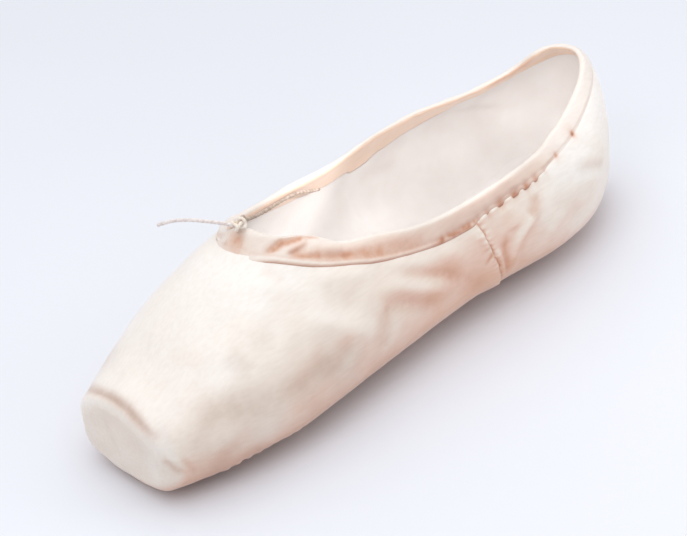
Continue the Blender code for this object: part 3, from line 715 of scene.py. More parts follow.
def row_stations():
    """Stations of the rows, in fours between the places where an opening starts or ends."""
    turns = np.linspace(0, pi / 2, RIM_ROWS + 1)
    rim = PLATFORM_ROUND * (1 - np.cos(turns[:-1])) / LENGTH
    front, back = SOLE_FRONT + MARGIN / LENGTH, SOLE_BACK - MARGIN / LENGTH
    body = spans(
        (PLATFORM_ROUND / LENGTH, front, 24), (front, THROAT, 52), (THROAT, 0.5, 72), (0.5, HEEL_START, 124)
    )
    sole_end, collar_end = heel_turn(back), heel_turn(COLLAR_BACK)
    heel = spans((0, sole_end, 56), (sole_end, collar_end, 16), (collar_end, pi / 2, 28))
    return np.concatenate([rim, body[:-1], HEEL_START + (1 - HEEL_START) * np.sin(heel)])


RIM_ROWS = 12
PLATFORM_ROWS = 20
COLUMNS_BELOW, COLUMNS_ABOVE, ANGLE_STEPS = 20, 76, 120
# Every fourth row and column is in the hidden backs of the satin and the lining, which lie back
# to back in the wall, at these shares of its thickness
COARSE = 4
SATIN_BACK, LINING_BACK = 0.5, 0.53
STATIONS = row_stations()
SOLE_LINE = Line(sole_line())


def base_grid():
    """Points of the last's left half and where the wall is open: rows along it, columns up it."""
    below = np.linspace(0, 1, COLUMNS_BELOW, endpoint=False)
    above = np.linspace(0, 1, COLUMNS_ABOVE + 1)
    above = 1 + above + 0.10 * np.sin(pi * above) * above
    shares = np.concatenate([below, above])
    start, end = opening_angle(STATIONS), collar_angle(STATIONS)
    part = np.linspace(0, 1, ANGLE_STEPS)
    low = start[:, None] + (CORNER_ANGLE - start)[:, None] * part
    high = CORNER_ANGLE + (end - CORNER_ANGLE)[:, None] * part[1:]
    dense = np.concatenate([low, high], axis=1)
    line = section_point(STATIONS[:, None], dense)
    angles = np.zeros((len(STATIONS), len(shares)))
    for i in range(len(STATIONS)):
        length = lengths(line[i])
        place = np.interp(shares, (0, 1, 2), (0, length[ANGLE_STEPS - 1], length[-1]))
        angles[i] = np.interp(place, length, dense[i])
    window = between(STATIONS, 0.50, SEAM_STATION - 0.005, SEAM_STATION + 0.01, 0.70)
    station = np.repeat(STATIONS[:, None], len(shares), axis=1)
    points = section_point(station, angles)
    for _ in range(3):
        station = STATIONS[:, None] + window[:, None] * SEAM_LEAN * (points[..., 2] - SEAM_HEIGHT) / LENGTH
        leaned = [np.interp(across, STATIONS, angle) for across, angle in zip(station.T, angles.T)]
        points = section_point(station, np.stack(leaned, axis=1))
    open_below, open_above = start > -pi / 2 + 1e-9, end < pi / 2 - 1e-9
    points[~open_below, 0, 0] = 0
    points[~open_above, -1, 0] = 0
    points[-1] = (0, LENGTH / 2, HEEL_POLE * INSTEP_HEIGHT)
    pole = np.array([0, -LENGTH / 2, points[0, :, 2].mean()])
    rings = [pole + (points[0] - pole) * share for share in np.linspace(0, 1, PLATFORM_ROWS, endpoint=False)]
    closed = np.zeros(PLATFORM_ROWS, bool)
    points = np.concatenate([rings, points])
    return points, np.concatenate([closed, open_below]), np.concatenate([closed, open_above])


def grid_normals(points):
    """Outward directions on the left half's grid, straight ahead on the platform."""
    flat = unit(gradient(points))
    ahead = np.array([0.0, -1.0, 0.0])
    flat[:PLATFORM_ROWS] = ahead
    share = np.linspace(1, 0, RIM_ROWS + 1)[:, None, None] ** 2
    turned = flat[PLATFORM_ROWS:PLATFORM_ROWS + RIM_ROWS + 1]
    flat[PLATFORM_ROWS:PLATFORM_ROWS + RIM_ROWS + 1] = unit(ahead * share + turned * (1 - share))
    flat[-1] = (0, 1, 0)
    return flat


def mesh_object(name, vertices, faces, finishes, looks=None, indices=None):
    """A welded mesh. The materials read the looks of each vertex: how deep in a crease it is, how grey,
    both mostly painted shade, and its tone, painted light, which is how much it faces up plus the
    third of the looks."""
    keys = np.round(np.asarray(vertices) / 1e-7).astype(np.int64)
    _, first, place = np.unique(keys, axis=0, return_index=True, return_inverse=True)
    place = place.ravel()
    kept, slots = [], []
    for i, face in enumerate(faces):
        loop = []
        for corner in (place[v] for v in face):
            if not loop or corner != loop[-1]:
                loop.append(int(corner))
        if len(loop) > 1 and loop[0] == loop[-1]:
            loop.pop()
        if len(loop) > 2 and len(set(loop)) == len(loop):
            kept.append(loop)
            slots.append(0 if indices is None else indices[i])
    mesh = bpy.data.meshes.new(name)
    mesh.from_pydata(np.asarray(vertices)[first].tolist(), [], kept)
    for finish in finishes:
        mesh.materials.append(finish)
    mesh.polygons.foreach_set("material_index", slots)
    upward = np.zeros(len(first) * 3, np.float32)
    mesh.vertex_normals.foreach_get("vector", upward)
    looks = np.zeros((len(keys), 3)) if looks is None else np.asarray(looks).reshape(-1, 3)
    crease, grey_shade_and_wear, light = looks[first].astype(np.float32).T
    # Crease and grey are painted shade, beside seams and stitches; the tone is painted light, lighter facing
    # up and darker facing the floor
    for title, values in (("crease", crease), ("grey_shade_and_wear", grey_shade_and_wear), ("painted_light", upward[2::3] + light)):
        layer = mesh.attributes.new(title, "FLOAT", "POINT")
        layer.data.foreach_set("value", np.ascontiguousarray(values, np.float32))
    mesh.shade_smooth()
    piece = add_object(name, mesh)
    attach(piece, "root")
    return piece


def numbered(rows, columns, first=0):
    """Numbers of the vertices of a grid, from first on."""
    return first + np.arange(rows * columns).reshape(rows, columns)


def cells(grid, turned=False):
    """Faces between the rows and columns of a grid of vertex numbers."""
    corners = [grid[:-1, :-1], grid[1:, :-1], grid[1:, 1:], grid[:-1, 1:]]
    if turned:
        corners = [corners[0], *corners[:0:-1]]
    return np.stack(corners, axis=-1).reshape(-1, 4)


def shell(name, halves, open_below, open_above, finish, every, turned=False):
    """A closed piece between a fine skin and a coarse one, whose cells span every fine cells each.
    Each half is (sign of x, fine, coarse, tint). Turned, the fine skin is the inner one."""
    vertices, faces, tints = [], [], []
    for sign, fine, coarse, tint in halves:
        at = numbered(*fine.shape[:2], sum(len(v) for v in vertices))
        low = numbered(*coarse.shape[:2], at[-1, -1] + 1)
        vertices += [fine.reshape(-1, 3), coarse.reshape(-1, 3)]
        tints += [tint.reshape(-1, 3), np.zeros((low.size, 3))]
        made = cells(at).tolist() + cells(low, turned=True).tolist()
        for edge, opened, order in ((0, open_below, 1), (-1, open_above, -1)):
            for r in range(coarse.shape[0] - 1):
                i = r * every
                if opened[i + 1:i + every].any():
                    rim = [*at[i:i + every + 1, edge], low[r + 1, edge], low[r, edge]]
                    made.append(rim[::-order])
        flip = (sign < 0) != turned
        faces += [face[::-1] for face in made] if flip else made
    return mesh_object(name, np.concatenate(vertices), faces, [finish], np.concatenate(tints))


# Binding


# The drawstring's casing, folded over the collar's edge. Its profile runs from the lower edge
# outside over the roll and down the inside, and then back inside the wall. A point is (wall,
# stand, depth): the share of the wall's thickness that it is in from the satin, its distance off
# the skin and its distance below the collar's edge, the last two in millimetres.
BAND_OUTSIDE = (
    (0.0, 0.02, 6.95), (0.0, 0.22, 6.80), (0.0, 0.50, 6.40), (0.0, 0.66, 5.75), (0.0, 0.48, 4.95),
    (0.0, 0.51, 4.20), (0.0, 0.55, 3.40), (0.0, 0.56, 2.80), (0.0, 0.57, 2.20), (0.0, 0.58, 1.60),
    (0.0, 0.58, 0.90), (0.0, 0.52, 0.15), (-0.2, 0.36, -0.45), (-0.5, 0.00, -0.80), (-0.8, -0.30, -0.45),
    (-1.0, -0.44, 0.15), (-1.0, -0.48, 1.00), (-1.0, -0.48, 1.80), (-1.0, -0.48, 2.40), (-1.0, -0.48, 3.40),
    (-1.0, -0.46, 4.50), (-1.0, -0.34, 5.10),
)
BAND_BACK = (
    (-1.0, 0.25, 4.40), (-1.0, 0.25, 2.20), (-1.0, 0.25, 0.40), (-0.5, 0.00, -0.20), (0.0, -0.25, 0.40),
    (0.0, -0.25, 2.20), (0.0, -0.25, 6.80),
)
# How much wider the roll is on the hidden side, in front of the side seam
BROAD_ROLL = 1.7
# How the casing's edges wander, as (distance along the collar, millimetres): how far the rolled
# edge stands up on each side, how far the whole collar sags on the hidden side and how far down
# the lower edge and the hem inside reach
ROLL_RISES = {
    1: (
        (0, 0.1), (3, 0.5), (8, 0.7), (11.7, 1.25), (14.7, 2.5), (18.2, 3.3), (21.2, 3.55), (25, 3.0),
        (28.7, 1.8), (32.6, 0.4), (37, 0.7), (48, 0.8), (57, 0.2), (62, 0.0), (128, 0.1), (137, 1.0),
        (150, 1.0), (165, 0.6), (180, 0.6), (190, 0.7),
    ),
    -1: (
        (0, 0.1), (43, 0.2), (50, 2.0), (60, 2.5), (80, 2.1), (90, 1.9), (100, 1.5), (110, 0.7),
        (123, 2.0), (130, 1.4), (140, 0.3), (148, -0.6), (153, -0.2), (156, 0.2), (161, -0.7), (166, 0.2),
        (173, 4.6), (181, 5.0), (185.5, 2.6), (190, 0.7),
    ),
}
COLLAR_SAG = ((0, 0.0), (2, 0.8), (6, 3.2), (10, 4.4), (24, 4.4), (30, 3.3), (36, 2.1), (41, 1.0), (46, 0.0))
SAG_REACH = 8.5
EDGE_DROP = ((32, 0), (36, 0.25), (40, 0.8), (48, 1.35), (76, 1.4), (84, 1.2), (90, 0.5), (98, 0.1), (104, 0))
HEM_DROP = {
    1: ((60, 0.0), (90, 0.7), (126, 0.7), (140, 0.1)),
    -1: (
        (4, 0.5), (45, 0.6), (60, 0.3), (80, 0.9), (92, 1.45), (126, 1.35), (138, 0.7), (150, 0.45),
        (162, 0.3), (176, 0.1),
    ),
}
# Small holes: distance along the collar, depth below its edge, half width and how dark the painted shade in
# and round each is
HOLES = {
    1: ((130.6, 4.9, 0.95, 1.1), (144.8, 4.8, 1.10, 1.5)),
    -1: ((126.0, 5.2, 0.95, 1.1), (141.0, 5.0, 1.10, 1.5)),
}
PIPING_DEPTH, PIPING_WIDTH = 5.8, 0.75
# Folds of the casing: rise, width, crease, start and end; crease is the painted shade in the fold.
# The ends are (distance along the collar, depth below its edge), where the distance is below 0 on
# the hidden side
BAND_FOLDS = (
    # the throat: a hollow darkened with painted shade, a fold beside it and the soft corner below it
    (-0.45, 1.4, 0.95, (-0.1, 2.0), (1.0, 3.4)),
    (0.40, 0.8, 0.0, (-1.6, 1.5), (-1.8, 3.9)),
    (0.30, 0.9, 0.0, (2.6, 1.4), (7.6, 0.9)),
    (-0.20, 1.8, 0.25, (-2.5, 5.2), (2.5, 5.0)),
    (-0.20, 2.2, 0.10, (3.0, 4.0), (8.0, 3.6)),
    # a leaf of shadow under the rolled edge, and the soft fold below it
    (-0.85, 1.05, 1.25, (9.5, 3.7), (12.2, 1.6)),
    (-0.85, 0.80, 1.20, (12.2, 1.6), (18.2, 0.6)),
    (-0.40, 0.45, 0.70, (18.2, 0.6), (24.5, 0.15)),
    (0.50, 0.6, 0.30, (14.5, 3.0), (20.0, 1.3)),
    (-0.35, 0.6, 0.42, (15.5, 3.5), (20.0, 1.9)),
    (0.65, 1.3, 0.0, (21.5, 2.2), (31.0, 1.4)),
    (-0.25, 0.9, 1.00, (16.0, 3.9), (24.0, 3.5)),
    (-0.28, 1.2, 0.85, (24.0, 3.6), (34.0, 3.7)),
    (-0.25, 1.6, 0.90, (33.0, 3.6), (46.0, 3.8)),
    (-0.20, 2.0, 0.60, (46.0, 3.8), (62.0, 3.8)),
    (-0.40, 0.9, 0.15, (-4.4, 5.0), (-6.5, 1.8)),
    (0.45, 0.9, 0.0, (-8.0, 5.2), (-10.5, 3.0)),
    (-0.60, 1.0, 0.45, (-10.5, 4.4), (-18.0, 1.6)),
    (0.55, 0.9, 0.0, (-19.0, 3.8), (-26.0, 0.0)),
    (-0.35, 0.9, 0.3, (-36.0, 3.9), (-46.0, 2.8)),
)
STITCHES_START, STITCHES_END, STITCH_DEPTH = 62.0, 86.5, 5.5
HEM_DEPTH, EDGE_DEPTH = 4.9, 6.7
# Points of the profile, thickness of the wall it spans and rings round the collar
PROFILE_POINTS, PROFILE_WALL, BAND_RINGS = 52, 1.2, 1000
SKIN_STEP = 0.00035
SKIN_LEVELS = 36


def band_skin():
    """The skin below the collar's edge on the left half, as arrays of levels and rings: points,
    outward directions, the edge's downward ones, lift and wall."""
    edge = COLLAR_LINE.points[np.linspace(0, COLLAR_POINTS - 1, BAND_RINGS // 2 + 1).astype(int)].copy()
    edge[1:-1] = settle(edge[1:-1])
    along = np.gradient(edge, axis=0)
    along[0], along[-1] = (1, 0, 0), (-1, 0, 0)
    along = unit(along)
    at_throat = np.where(edge[:, 1] < 0, bell(edge[:, 0], THROAT_REACH_WIDTH), 0)
    step = (SKIN_STEP * (1 + THROAT_REACH * at_throat))[:, None]
    levels, outward = [edge], [normal(edge)]
    down = unit(np.cross(along, outward[0]))
    point = edge
    for _ in range(SKIN_LEVELS):
        point = settle(point + unit(np.cross(along, normal(point))) * step, 4)
        levels.append(point)
        outward.append(normal(point))
    skin, outward = np.array(levels), np.array(outward)
    depth = np.arange(SKIN_LEVELS + 1)[:, None] * step[:, 0]
    return skin, outward, down, lift(skin, depth), wall(skin, depth)


def band_line(skin, wall_share, stand, depth):
    """One line of the profile at every ring of the left half; stand and depth are arrays."""
    points, outward, down, lifted, thick = skin
    at = np.clip(depth / SKIN_STEP, 0, SKIN_LEVELS - 1e-6)
    level, part = at.astype(int), (at % 1)[:, None]
    ring = np.arange(points.shape[1])
    place = points[level, ring] * (1 - part) + points[level + 1, ring] * part
    out = unit(outward[level, ring] * (1 - part) + outward[level + 1, ring] * part)
    rise = lifted[level, ring] * (1 - part[:, 0]) + lifted[level + 1, ring] * part[:, 0]
    rise += wall_share * thick[level, ring] + stand
    above = np.minimum(depth, 0)[:, None]
    return place + down * above + out * rise[:, None]


def band_profile():
    """The profile on a fine spacing: the side seen from smooth curves, the back as it is."""
    outside = np.array(BAND_OUTSIDE)
    flat = np.stack([outside[:, 0] * PROFILE_WALL + outside[:, 1], outside[:, 2]], axis=1)
    length = lengths(flat)
    even = np.linspace(0, length[-1], PROFILE_POINTS)
    fine = np.stack([natural_curve(length, outside[:, i])(even) for i in range(3)], axis=1)
    fine[:, 0] = np.interp(even, length, outside[:, 0])
    return np.concatenate([fine, np.array(BAND_BACK)]), len(fine)


def band_folds(signed, depth):
    """Relief and crease of the casing's folds along one line of the profile."""
    relief, crease = np.zeros(len(signed)), np.zeros(len(signed))
    for rise, width, dark, start, end in BAND_FOLDS:
        way = np.subtract(end, start)
        share = ((signed - start[0]) * way[0] + (depth - start[1]) * way[1]) / (way @ way)
        share = np.clip(share, 0, 1)
        apart = np.hypot(signed - start[0] - share * way[0], depth - start[1] - share * way[1])
        height = bell(apart, width) * (0.6 + 0.4 * np.sin(pi * share))
        relief += rise * height
        crease += dark * height
    return relief, crease


def outer_band(arc, side, stand, depth, relief, place):
    """Relief, slide down, crease and lightness of one line of the casing's outside: the crease is painted
    shade beside brown stitches, the lightness painted light.
    """
    signed = arc * side
    folded, crease = band_folds(signed, depth)
    relief = relief + folded
    pucker = gathers(arc, side, 1.1)
    front = np.where(signed > -16, fall(signed, -0.5, 13.0), fall(-signed, 16, 24))
    loose_end = smooth(arc, 119, 127)
    unsewn = np.maximum(front, loose_end)
    tight = between(arc, 85, 89, 118, 124)
    stitched = between(arc, STITCHES_START, STITCHES_START + 10, STITCHES_END - 2, STITCHES_END)
    piping = (1 - 0.95 * smooth(arc, 82, 90)) * (1 - 0.85 * front) * (1 - 0.6 * stitched)

    relief -= 0.22 * bell(depth - PIPING_DEPTH, PIPING_WIDTH) * (1 - piping)
    relief -= 0.9 * unsewn * smooth(depth, 3.6, 6.2)
    relief -= 0.28 * smooth(depth, 3.0, 5.4) * np.minimum(pucker, 1.5)
    dark, near = hole_marks(arc, depth, side)
    relief -= 0.3 * near
    relief = np.maximum(relief, 0.10 - (0.18 + 0.10 * front) * smooth(depth, 4.6, 6.4) - stand)

    # Painted shade: the holes, a line above the piping, a line in the gap below the casing's edge and the
    # puckers; the stitches are brown thread
    blotch = ripple(place * (1, 3.3, 1), 1.1, 27)
    edge = (0.10 + 0.30 * piping) * (1 - unsewn) * (1 - 0.6 * stitched) + 0.2 * tight
    crease += dark + 0.25 * bell(depth - HEM_DEPTH, 0.45) * piping + edge * bell(depth - EDGE_DEPTH, 0.4)
    crease += 0.75 * smooth(depth, 3.8, 5.8) * np.minimum(pucker, 1.6)
    crease += stitched * np.maximum(0.9 + 0.7 * blotch, 0.3) * bell(depth - STITCH_DEPTH, 1.0)

    uneven = 0.75 + 0.35 * np.sin(arc / 1.3) + 0.2 * np.sin(arc / 0.57)
    pressed = np.minimum(pucker, 1)
    drawn = 0.60 * tight * uneven * (1 - pressed) - 0.25 * pressed
    slide = 0.2 * (1 - piping) * (1 - tight) - smooth(depth, 3.0, 6.0) * drawn
    slide += gentle(arc, EDGE_DROP) * smooth(depth, 2.5, 5.5)

    # Painted light: lighter on the piping, toward the loose end, along the rolled edge, at the throat's
    # corner and along the front's lower edge; painted shade just below the roll
    light = 0.05 * bell(depth - PIPING_DEPTH, 0.5) * piping + 0.26 * smooth(arc, 122, 136)
    light += 0.30 * fall(depth, -0.5, 0.2) - 0.10 * smooth(depth, 0.3, 1.2) * (1 - loose_end)
    light += 0.32 * bell(signed + 4.6, 2.8) * smooth(depth, 0.8, 2.2) * fall(depth, 4.8, 6.2)
    light += 0.30 * front * bell(depth - 6.2, 0.8)
    return relief, slide, crease, light


def inner_band(arc, side, depth, relief, loose, place):
    """Relief, slide down, crease and lightness, here 0, of one line of the casing's inside: the crease is the
    hem's line and painted shade.
    """
    slide = gentle(arc, HEM_DROP[side]) * np.maximum(depth - 1.6, 0)
    slide += 0.25 * loose * ripple(place * (1, 0, 1), 6.0, 25) * smooth(depth, 2.0, 4.5)
    # The hem's own line; on the hidden side painted shade: a patch near the heel, a darker stretch of the hem
    # and a line under the roll
    crease = 0.10 * bell(depth - HEM_DEPTH, 0.35) + 0 * arc
    if side < 0:
        crease += 0.80 * between(arc, 150, 158, 168, 176) * bell(depth - 1.2, 1.6)
        crease += 1.3 * bell(arc - 131, 7) * bell(depth - HEM_DEPTH, 0.35)
        crease += 0.3 * fall(arc, 60, 84) * bell(depth - 1.0, 0.35)
    return relief, slide, crease, 0 * arc


def band_row(index, seen, profile, arc, side):
    """Stand, depth and looks of one line of the profile at every ring of a half."""
    share, stand, depth = profile[index]
    full = COLLAR_LENGTH / MM
    loose = between(arc, 0, 6, full - 6, full)
    place = np.stack([arc, np.full(len(arc), 0.30 * depth), np.full(len(arc), 9.0 * side)], axis=1)
    fine = ripple(place, 2.3, 21) * 0.085 + ripple(place, 5.5, 22) * 0.13
    slack = 0.35 + 0.65 * (smooth(arc, 84, 100) + 1 - smooth(arc, 18, 40))
    relief = slack * loose * fine
    outside = share > -0.5
    if outside:
        relief, slide, crease, light = outer_band(arc, side, stand, depth, relief, place)
    else:
        relief, slide, crease, light = inner_band(arc, side, depth, relief, loose, place)
    if index < seen:
        slide = slide - gentle(arc, ROLL_RISES[side]) * fall(depth, 0, 4)
    else:
        relief, slide = 0 * relief, 0 * arc
    if side < 0:
        slide = slide + gentle(arc, COLLAR_SAG) * fall(depth, 0, SAG_REACH)
        if index < seen:
            broad = fall(arc, 58, 84) * fall(depth, 1.0, 3.0)
            stand = stand * (1 + (BROAD_ROLL - 1) * broad)
    sign = 1 if outside else -1
    if abs(share + 0.5) < 0.31:
        sign = 0
        slide = slide - 0.5 * relief
    looks = np.stack([np.clip(crease, 0, CREASE_LIMIT), 0 * arc, light], axis=-1)
    return stand + sign * relief, depth + slide, looks


def make_binding(finish, inner_finish):
    """The casing: the profile's line at every ring round the collar, both halves joined."""
    skin = band_skin()
    profile, seen = band_profile()
    arc = np.linspace(0, COLLAR_LENGTH / MM, skin[0].shape[1])
    vertices, looks = [], []
    for side in (1, -1):
        rows, shades = [], []
        for index in range(len(profile)):
            stand, depth, look = band_row(index, seen, profile, arc, side)
            row = band_line(skin, profile[index, 0], stand * MM, depth * MM)
            row[0, 0] = row[-1, 0] = 0
            row[:, 0] *= side
            rows.append(row)
            shades.append(look)
        vertices.append(np.stack(rows, axis=1))
        looks.append(np.stack(shades, axis=1))
    right, left = vertices
    for end in (0, -1):
        left[end] = right[end] = (left[end] + right[end]) / 2
    rings = np.concatenate([right, left[::-1][1:-1]])
    look = np.concatenate([looks[0], looks[1][::-1][1:-1]])
    quads = cells(np.pad(numbered(*rings.shape[:2]), ((0, 1), (0, 1)), mode="wrap"))
    inner = np.array([share < -0.5 or index >= seen for index, (share, _, _) in enumerate(profile)])
    indices = np.tile(inner.astype(int), len(rings))
    finishes = [finish, inner_finish]
    piece = mesh_object("binding_casing", rings.reshape(-1, 3), quads.tolist(), finishes, look, indices)
    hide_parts("binding")
    return piece


# Insole and outsole


def flat_piece(name, half_rows, finish, tint=None):
    """A closed piece from rows that start and end on the centre line, with its mirror image."""
    quads = cells(numbered(*half_rows.shape[:2]), turned=True)
    points = half_rows.reshape(-1, 3)
    other = points * (-1, 1, 1)
    faces = quads.tolist() + (quads[:, ::-1] + len(points)).tolist()
    looks = None
    if tint is not None:
        looks = np.zeros((2 * tint.size, 3))
        looks[:, 0] = np.concatenate([tint.ravel(), tint.ravel()])
    return mesh_object(name, np.concatenate([points, other]), faces, [finish], looks)


OUTSOLE_ROWS, OUTSOLE_COLUMNS = 221, 31
INSOLE_ROWS, INSOLE_COLUMNS = 201, 27
CHANNEL_INSET, CHANNEL_WIDTH, CHANNEL_DEPTH = 0.0032, 0.0004, 0.00022
QUILT_RELIEF, QUILT_SIZE = 0.00012, 0.012
# How far in from its edge the insole reaches its full thickness, and how close it lies
INSOLE_ROUND, INSOLE_SINK = 0.010, 0.0001


def make_outsole(finish):
    """Leather that closes the upper, with a rounded edge and a stitched channel inside it."""
    shares = 1 - np.linspace(1, 0, OUTSOLE_COLUMNS) ** 1.5
    rows, shades = [], []
    for station in closer_ends(SOLE_FRONT, SOLE_BACK, OUTSOLE_ROWS):
        half = float(outline(station, 0))
        slope = float(outline(station + 0.002, 0) - outline(station - 0.002, 0)) / (0.004 * LENGTH)
        top = keel_point(np.full(len(shares), station), half * shares)
        top[:, 2] -= GAP
        from_edge = half * (1 - shares) / np.hypot(1, slope)
        under = top.copy()
        edge = SOLE_EDGE * np.sqrt(1 - np.clip(1 - from_edge / (0.7 * SOLE_EDGE), 0, 1) ** 2)
        under[:, 2] = np.maximum(floor_rise(station), top[:, 2] - edge - SKIVE_SLOPE * from_edge)
        channel = bell(from_edge - CHANNEL_INSET, CHANNEL_WIDTH)
        under[:, 2] += CHANNEL_DEPTH * channel * smooth(half, 0.004, 0.008)
        rows.append(np.concatenate([under, top[::-1]]))
        shades.append(np.concatenate([channel, 0 * channel]))
    piece = flat_piece("outsole_leather", np.array(rows), finish, np.array(shades))
    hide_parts("outsole")
    return piece


def make_insole(finish):
    """The cotton sock on its board, slightly quilted, over the upper's turned-in margins."""
    first, last = SOLE_FRONT - INSOLE_MARGIN / LENGTH, SOLE_BACK + INSOLE_MARGIN / LENGTH
    shares = np.sin(np.linspace(0, pi / 2, INSOLE_COLUMNS))
    rows = []
    for station in closer_ends(first, last, INSOLE_ROWS):
        half = float(outline(station, -INSOLE_MARGIN))
        keel = keel_point(np.full(len(shares), station), half * shares)
        inward = -normal(keel)
        inset = (1 - shares) * half
        seat = wall(keel, 0 * shares + 0.05) + SEAT_GAP * smooth(inset, 0.001, 0.007) - INSOLE_SINK
        thick = INSOLE_THICKNESS * np.sqrt(1 - np.clip(1 - inset / INSOLE_ROUND, 0, 1) ** 2)
        soft = QUILT_RELIEF * ripple(keel, QUILT_SIZE, 31) * smooth(thick, 0, INSOLE_THICKNESS)
        top = keel + inward * (seat + thick + soft)[:, None]
        under = keel + inward * seat[:, None]
        under[0, 0] = top[0, 0] = 0
        rows.append(np.concatenate([under, top[::-1]]))
    piece = flat_piece("insole_sock", np.array(rows), finish)
    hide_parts("insole")
    return piece


# Drawstring: a braided cotton cord


CORD_SIDES = 28
CORD_SPACING, CORD_PATH_SPACING = 0.00022, 0.0016
BRAID_RISE, BRAID_PITCH = 0.00007, 0.0042
# Rounded end of a cord: share of the radius, and distance past the end in diameters
CORD_CAP = ((0.72, 0.16), (0.3, 0.24), (0.0, 0.26))


def tube(name, centres, diameter, finish, cyclic=False):
    """A tube with the low relief of a braid, closed at its ends unless it is a ring."""
    centres = np.asarray(centres)
    if cyclic:
        ahead = unit(np.roll(centres, -1, axis=0) - np.roll(centres, 1, axis=0))
    else:
        ahead = unit(np.gradient(centres, axis=0))
    side = unit(np.cross(ahead[0], (0.3, 0.2, 1.0)))
    sides = []
    for direction in ahead:
        side = unit(side - direction * (side @ direction))
        sides.append(side)
    twist = 0.0
    if cyclic:
        turned = unit(sides[-1] - ahead[0] * (sides[-1] @ ahead[0]))
        twist = np.arctan2(np.cross(turned, sides[0]) @ ahead[0], turned @ sides[0])
    length = lengths(centres)
    turn = np.linspace(0, 2 * pi, CORD_SIDES, endpoint=False)
    rings = []
    for i, centre in enumerate(centres):
        other = np.cross(ahead[i], sides[i])
        angle = (turn + twist * i / len(centres))[:, None]
        wound = length[i] * 2 * pi / BRAID_PITCH
        strand = np.cos(4 * turn + wound) * np.cos(4 * turn - wound)
        radius = diameter / 2 - BRAID_RISE + BRAID_RISE * 2 * strand
        rings.append(centre + radius[:, None] * (np.cos(angle) * sides[i] + np.sin(angle) * other))
    if not cyclic:
        for end, way in ((0, -1), (-1, 1)):
            ring, centre, out = rings[end], centres[end], way * ahead[end] * diameter
            cap = [centre + (ring - centre) * share + out * past for share, past in CORD_CAP]
            rings = rings + cap if way > 0 else cap[::-1] + rings
    rings = np.array(rings)
    closed = np.pad(numbered(len(rings), CORD_SIDES), ((0, int(cyclic)), (0, 1)), mode="wrap")
    quads = cells(closed, turned=True)
    return mesh_object(name, rings.reshape(-1, 3), quads.tolist(), [finish])


def make_cords(finishes):
    for name, route in CORD_ROUTES.items():
        path = smooth_route(route, CORD_SPACING)
        piece = tube(name.replace("end", "cord"), path, CORD_DIAMETER, finishes[name])
        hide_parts(name)
        coarse = smooth_route(route, CORD_PATH_SPACING)


def make_knot(finish):
    """The small knot that lies on the casing at the throat."""
    turn = np.linspace(0, 2 * pi, 150, endpoint=False)
    side = KNOT_SCALE * (KNOT_VALLEY * np.sin(turn) + 2 * np.sin(2 * turn))
    back = KNOT_SCALE * (KNOT_VALLEY * np.cos(turn) - 2 * np.cos(2 * turn))
    across = side * cos(KNOT_TURN) - back * sin(KNOT_TURN)
    along = side * sin(KNOT_TURN) + back * cos(KNOT_TURN)
    up = -KNOT_SCALE * KNOT_HEIGHT * np.sin(3 * turn)
    leaned = along * cos(KNOT_LEAN) - up * sin(KNOT_LEAN)
    risen = along * sin(KNOT_LEAN) + up * cos(KNOT_LEAN)
    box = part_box("drawstring_knot")
    loop = np.stack([across, leaned, risen], axis=1)
    middle = (np.array(box[0]) + np.array(box[1])) / 2 - (loop.min(axis=0) + loop.max(axis=0)) / 2
    piece = tube("drawstring_bow", loop + middle, KNOT_CORD_DIAMETER, finish, cyclic=True)
    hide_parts("drawstring_knot")


# Materials


# Tones of the satin by how much it faces up, 1 level and 0 upright, a painted light that is whiter
# facing up and warmer and darker, as painted shade, facing the floor; and what its creases and grey
# places, painted shade beside seam and stitch lines and a few stains, and its thicker threads
# multiply them by
PEACH_TONES = (
    (-0.20, (232, 188, 162)),
    (0.05, (241, 211, 194)),
    (0.30, (246, 232, 219)),
    (0.60, (249, 240, 230)),
    (0.92, (248, 243, 238)),
)
# The casing's satin: the same ramp by facing, darker all through as painted shade of the band below its
# rolled edge; then its inside, a flatter ramp, also painted light by facing
SHADED_CASING_TONES = (
    (-0.20, (208, 162, 138)),
    (0.05, (216, 186, 170)),
    (0.30, (228, 203, 189)),
    (0.60, (236, 220, 208)),
    (0.92, (237, 228, 221)),
)
CASING_INSIDE_TONES = ((-0.20, (246, 216, 194)), (0.30, (250, 224, 204)), (0.92, (240, 230, 222)))
CREASES = ((0.0, (255, 255, 255)), (1.0, (230, 190, 168)), (2.0, (160, 104, 76)))
GREY_SHADE_AND_WEAR_TINT = (0.62, 0.54, 0.50, 1.0)
COTTON_THREADS = 1500 / 6.28
SLUBS = (0.60, 0.45, 0.36, 1.0)


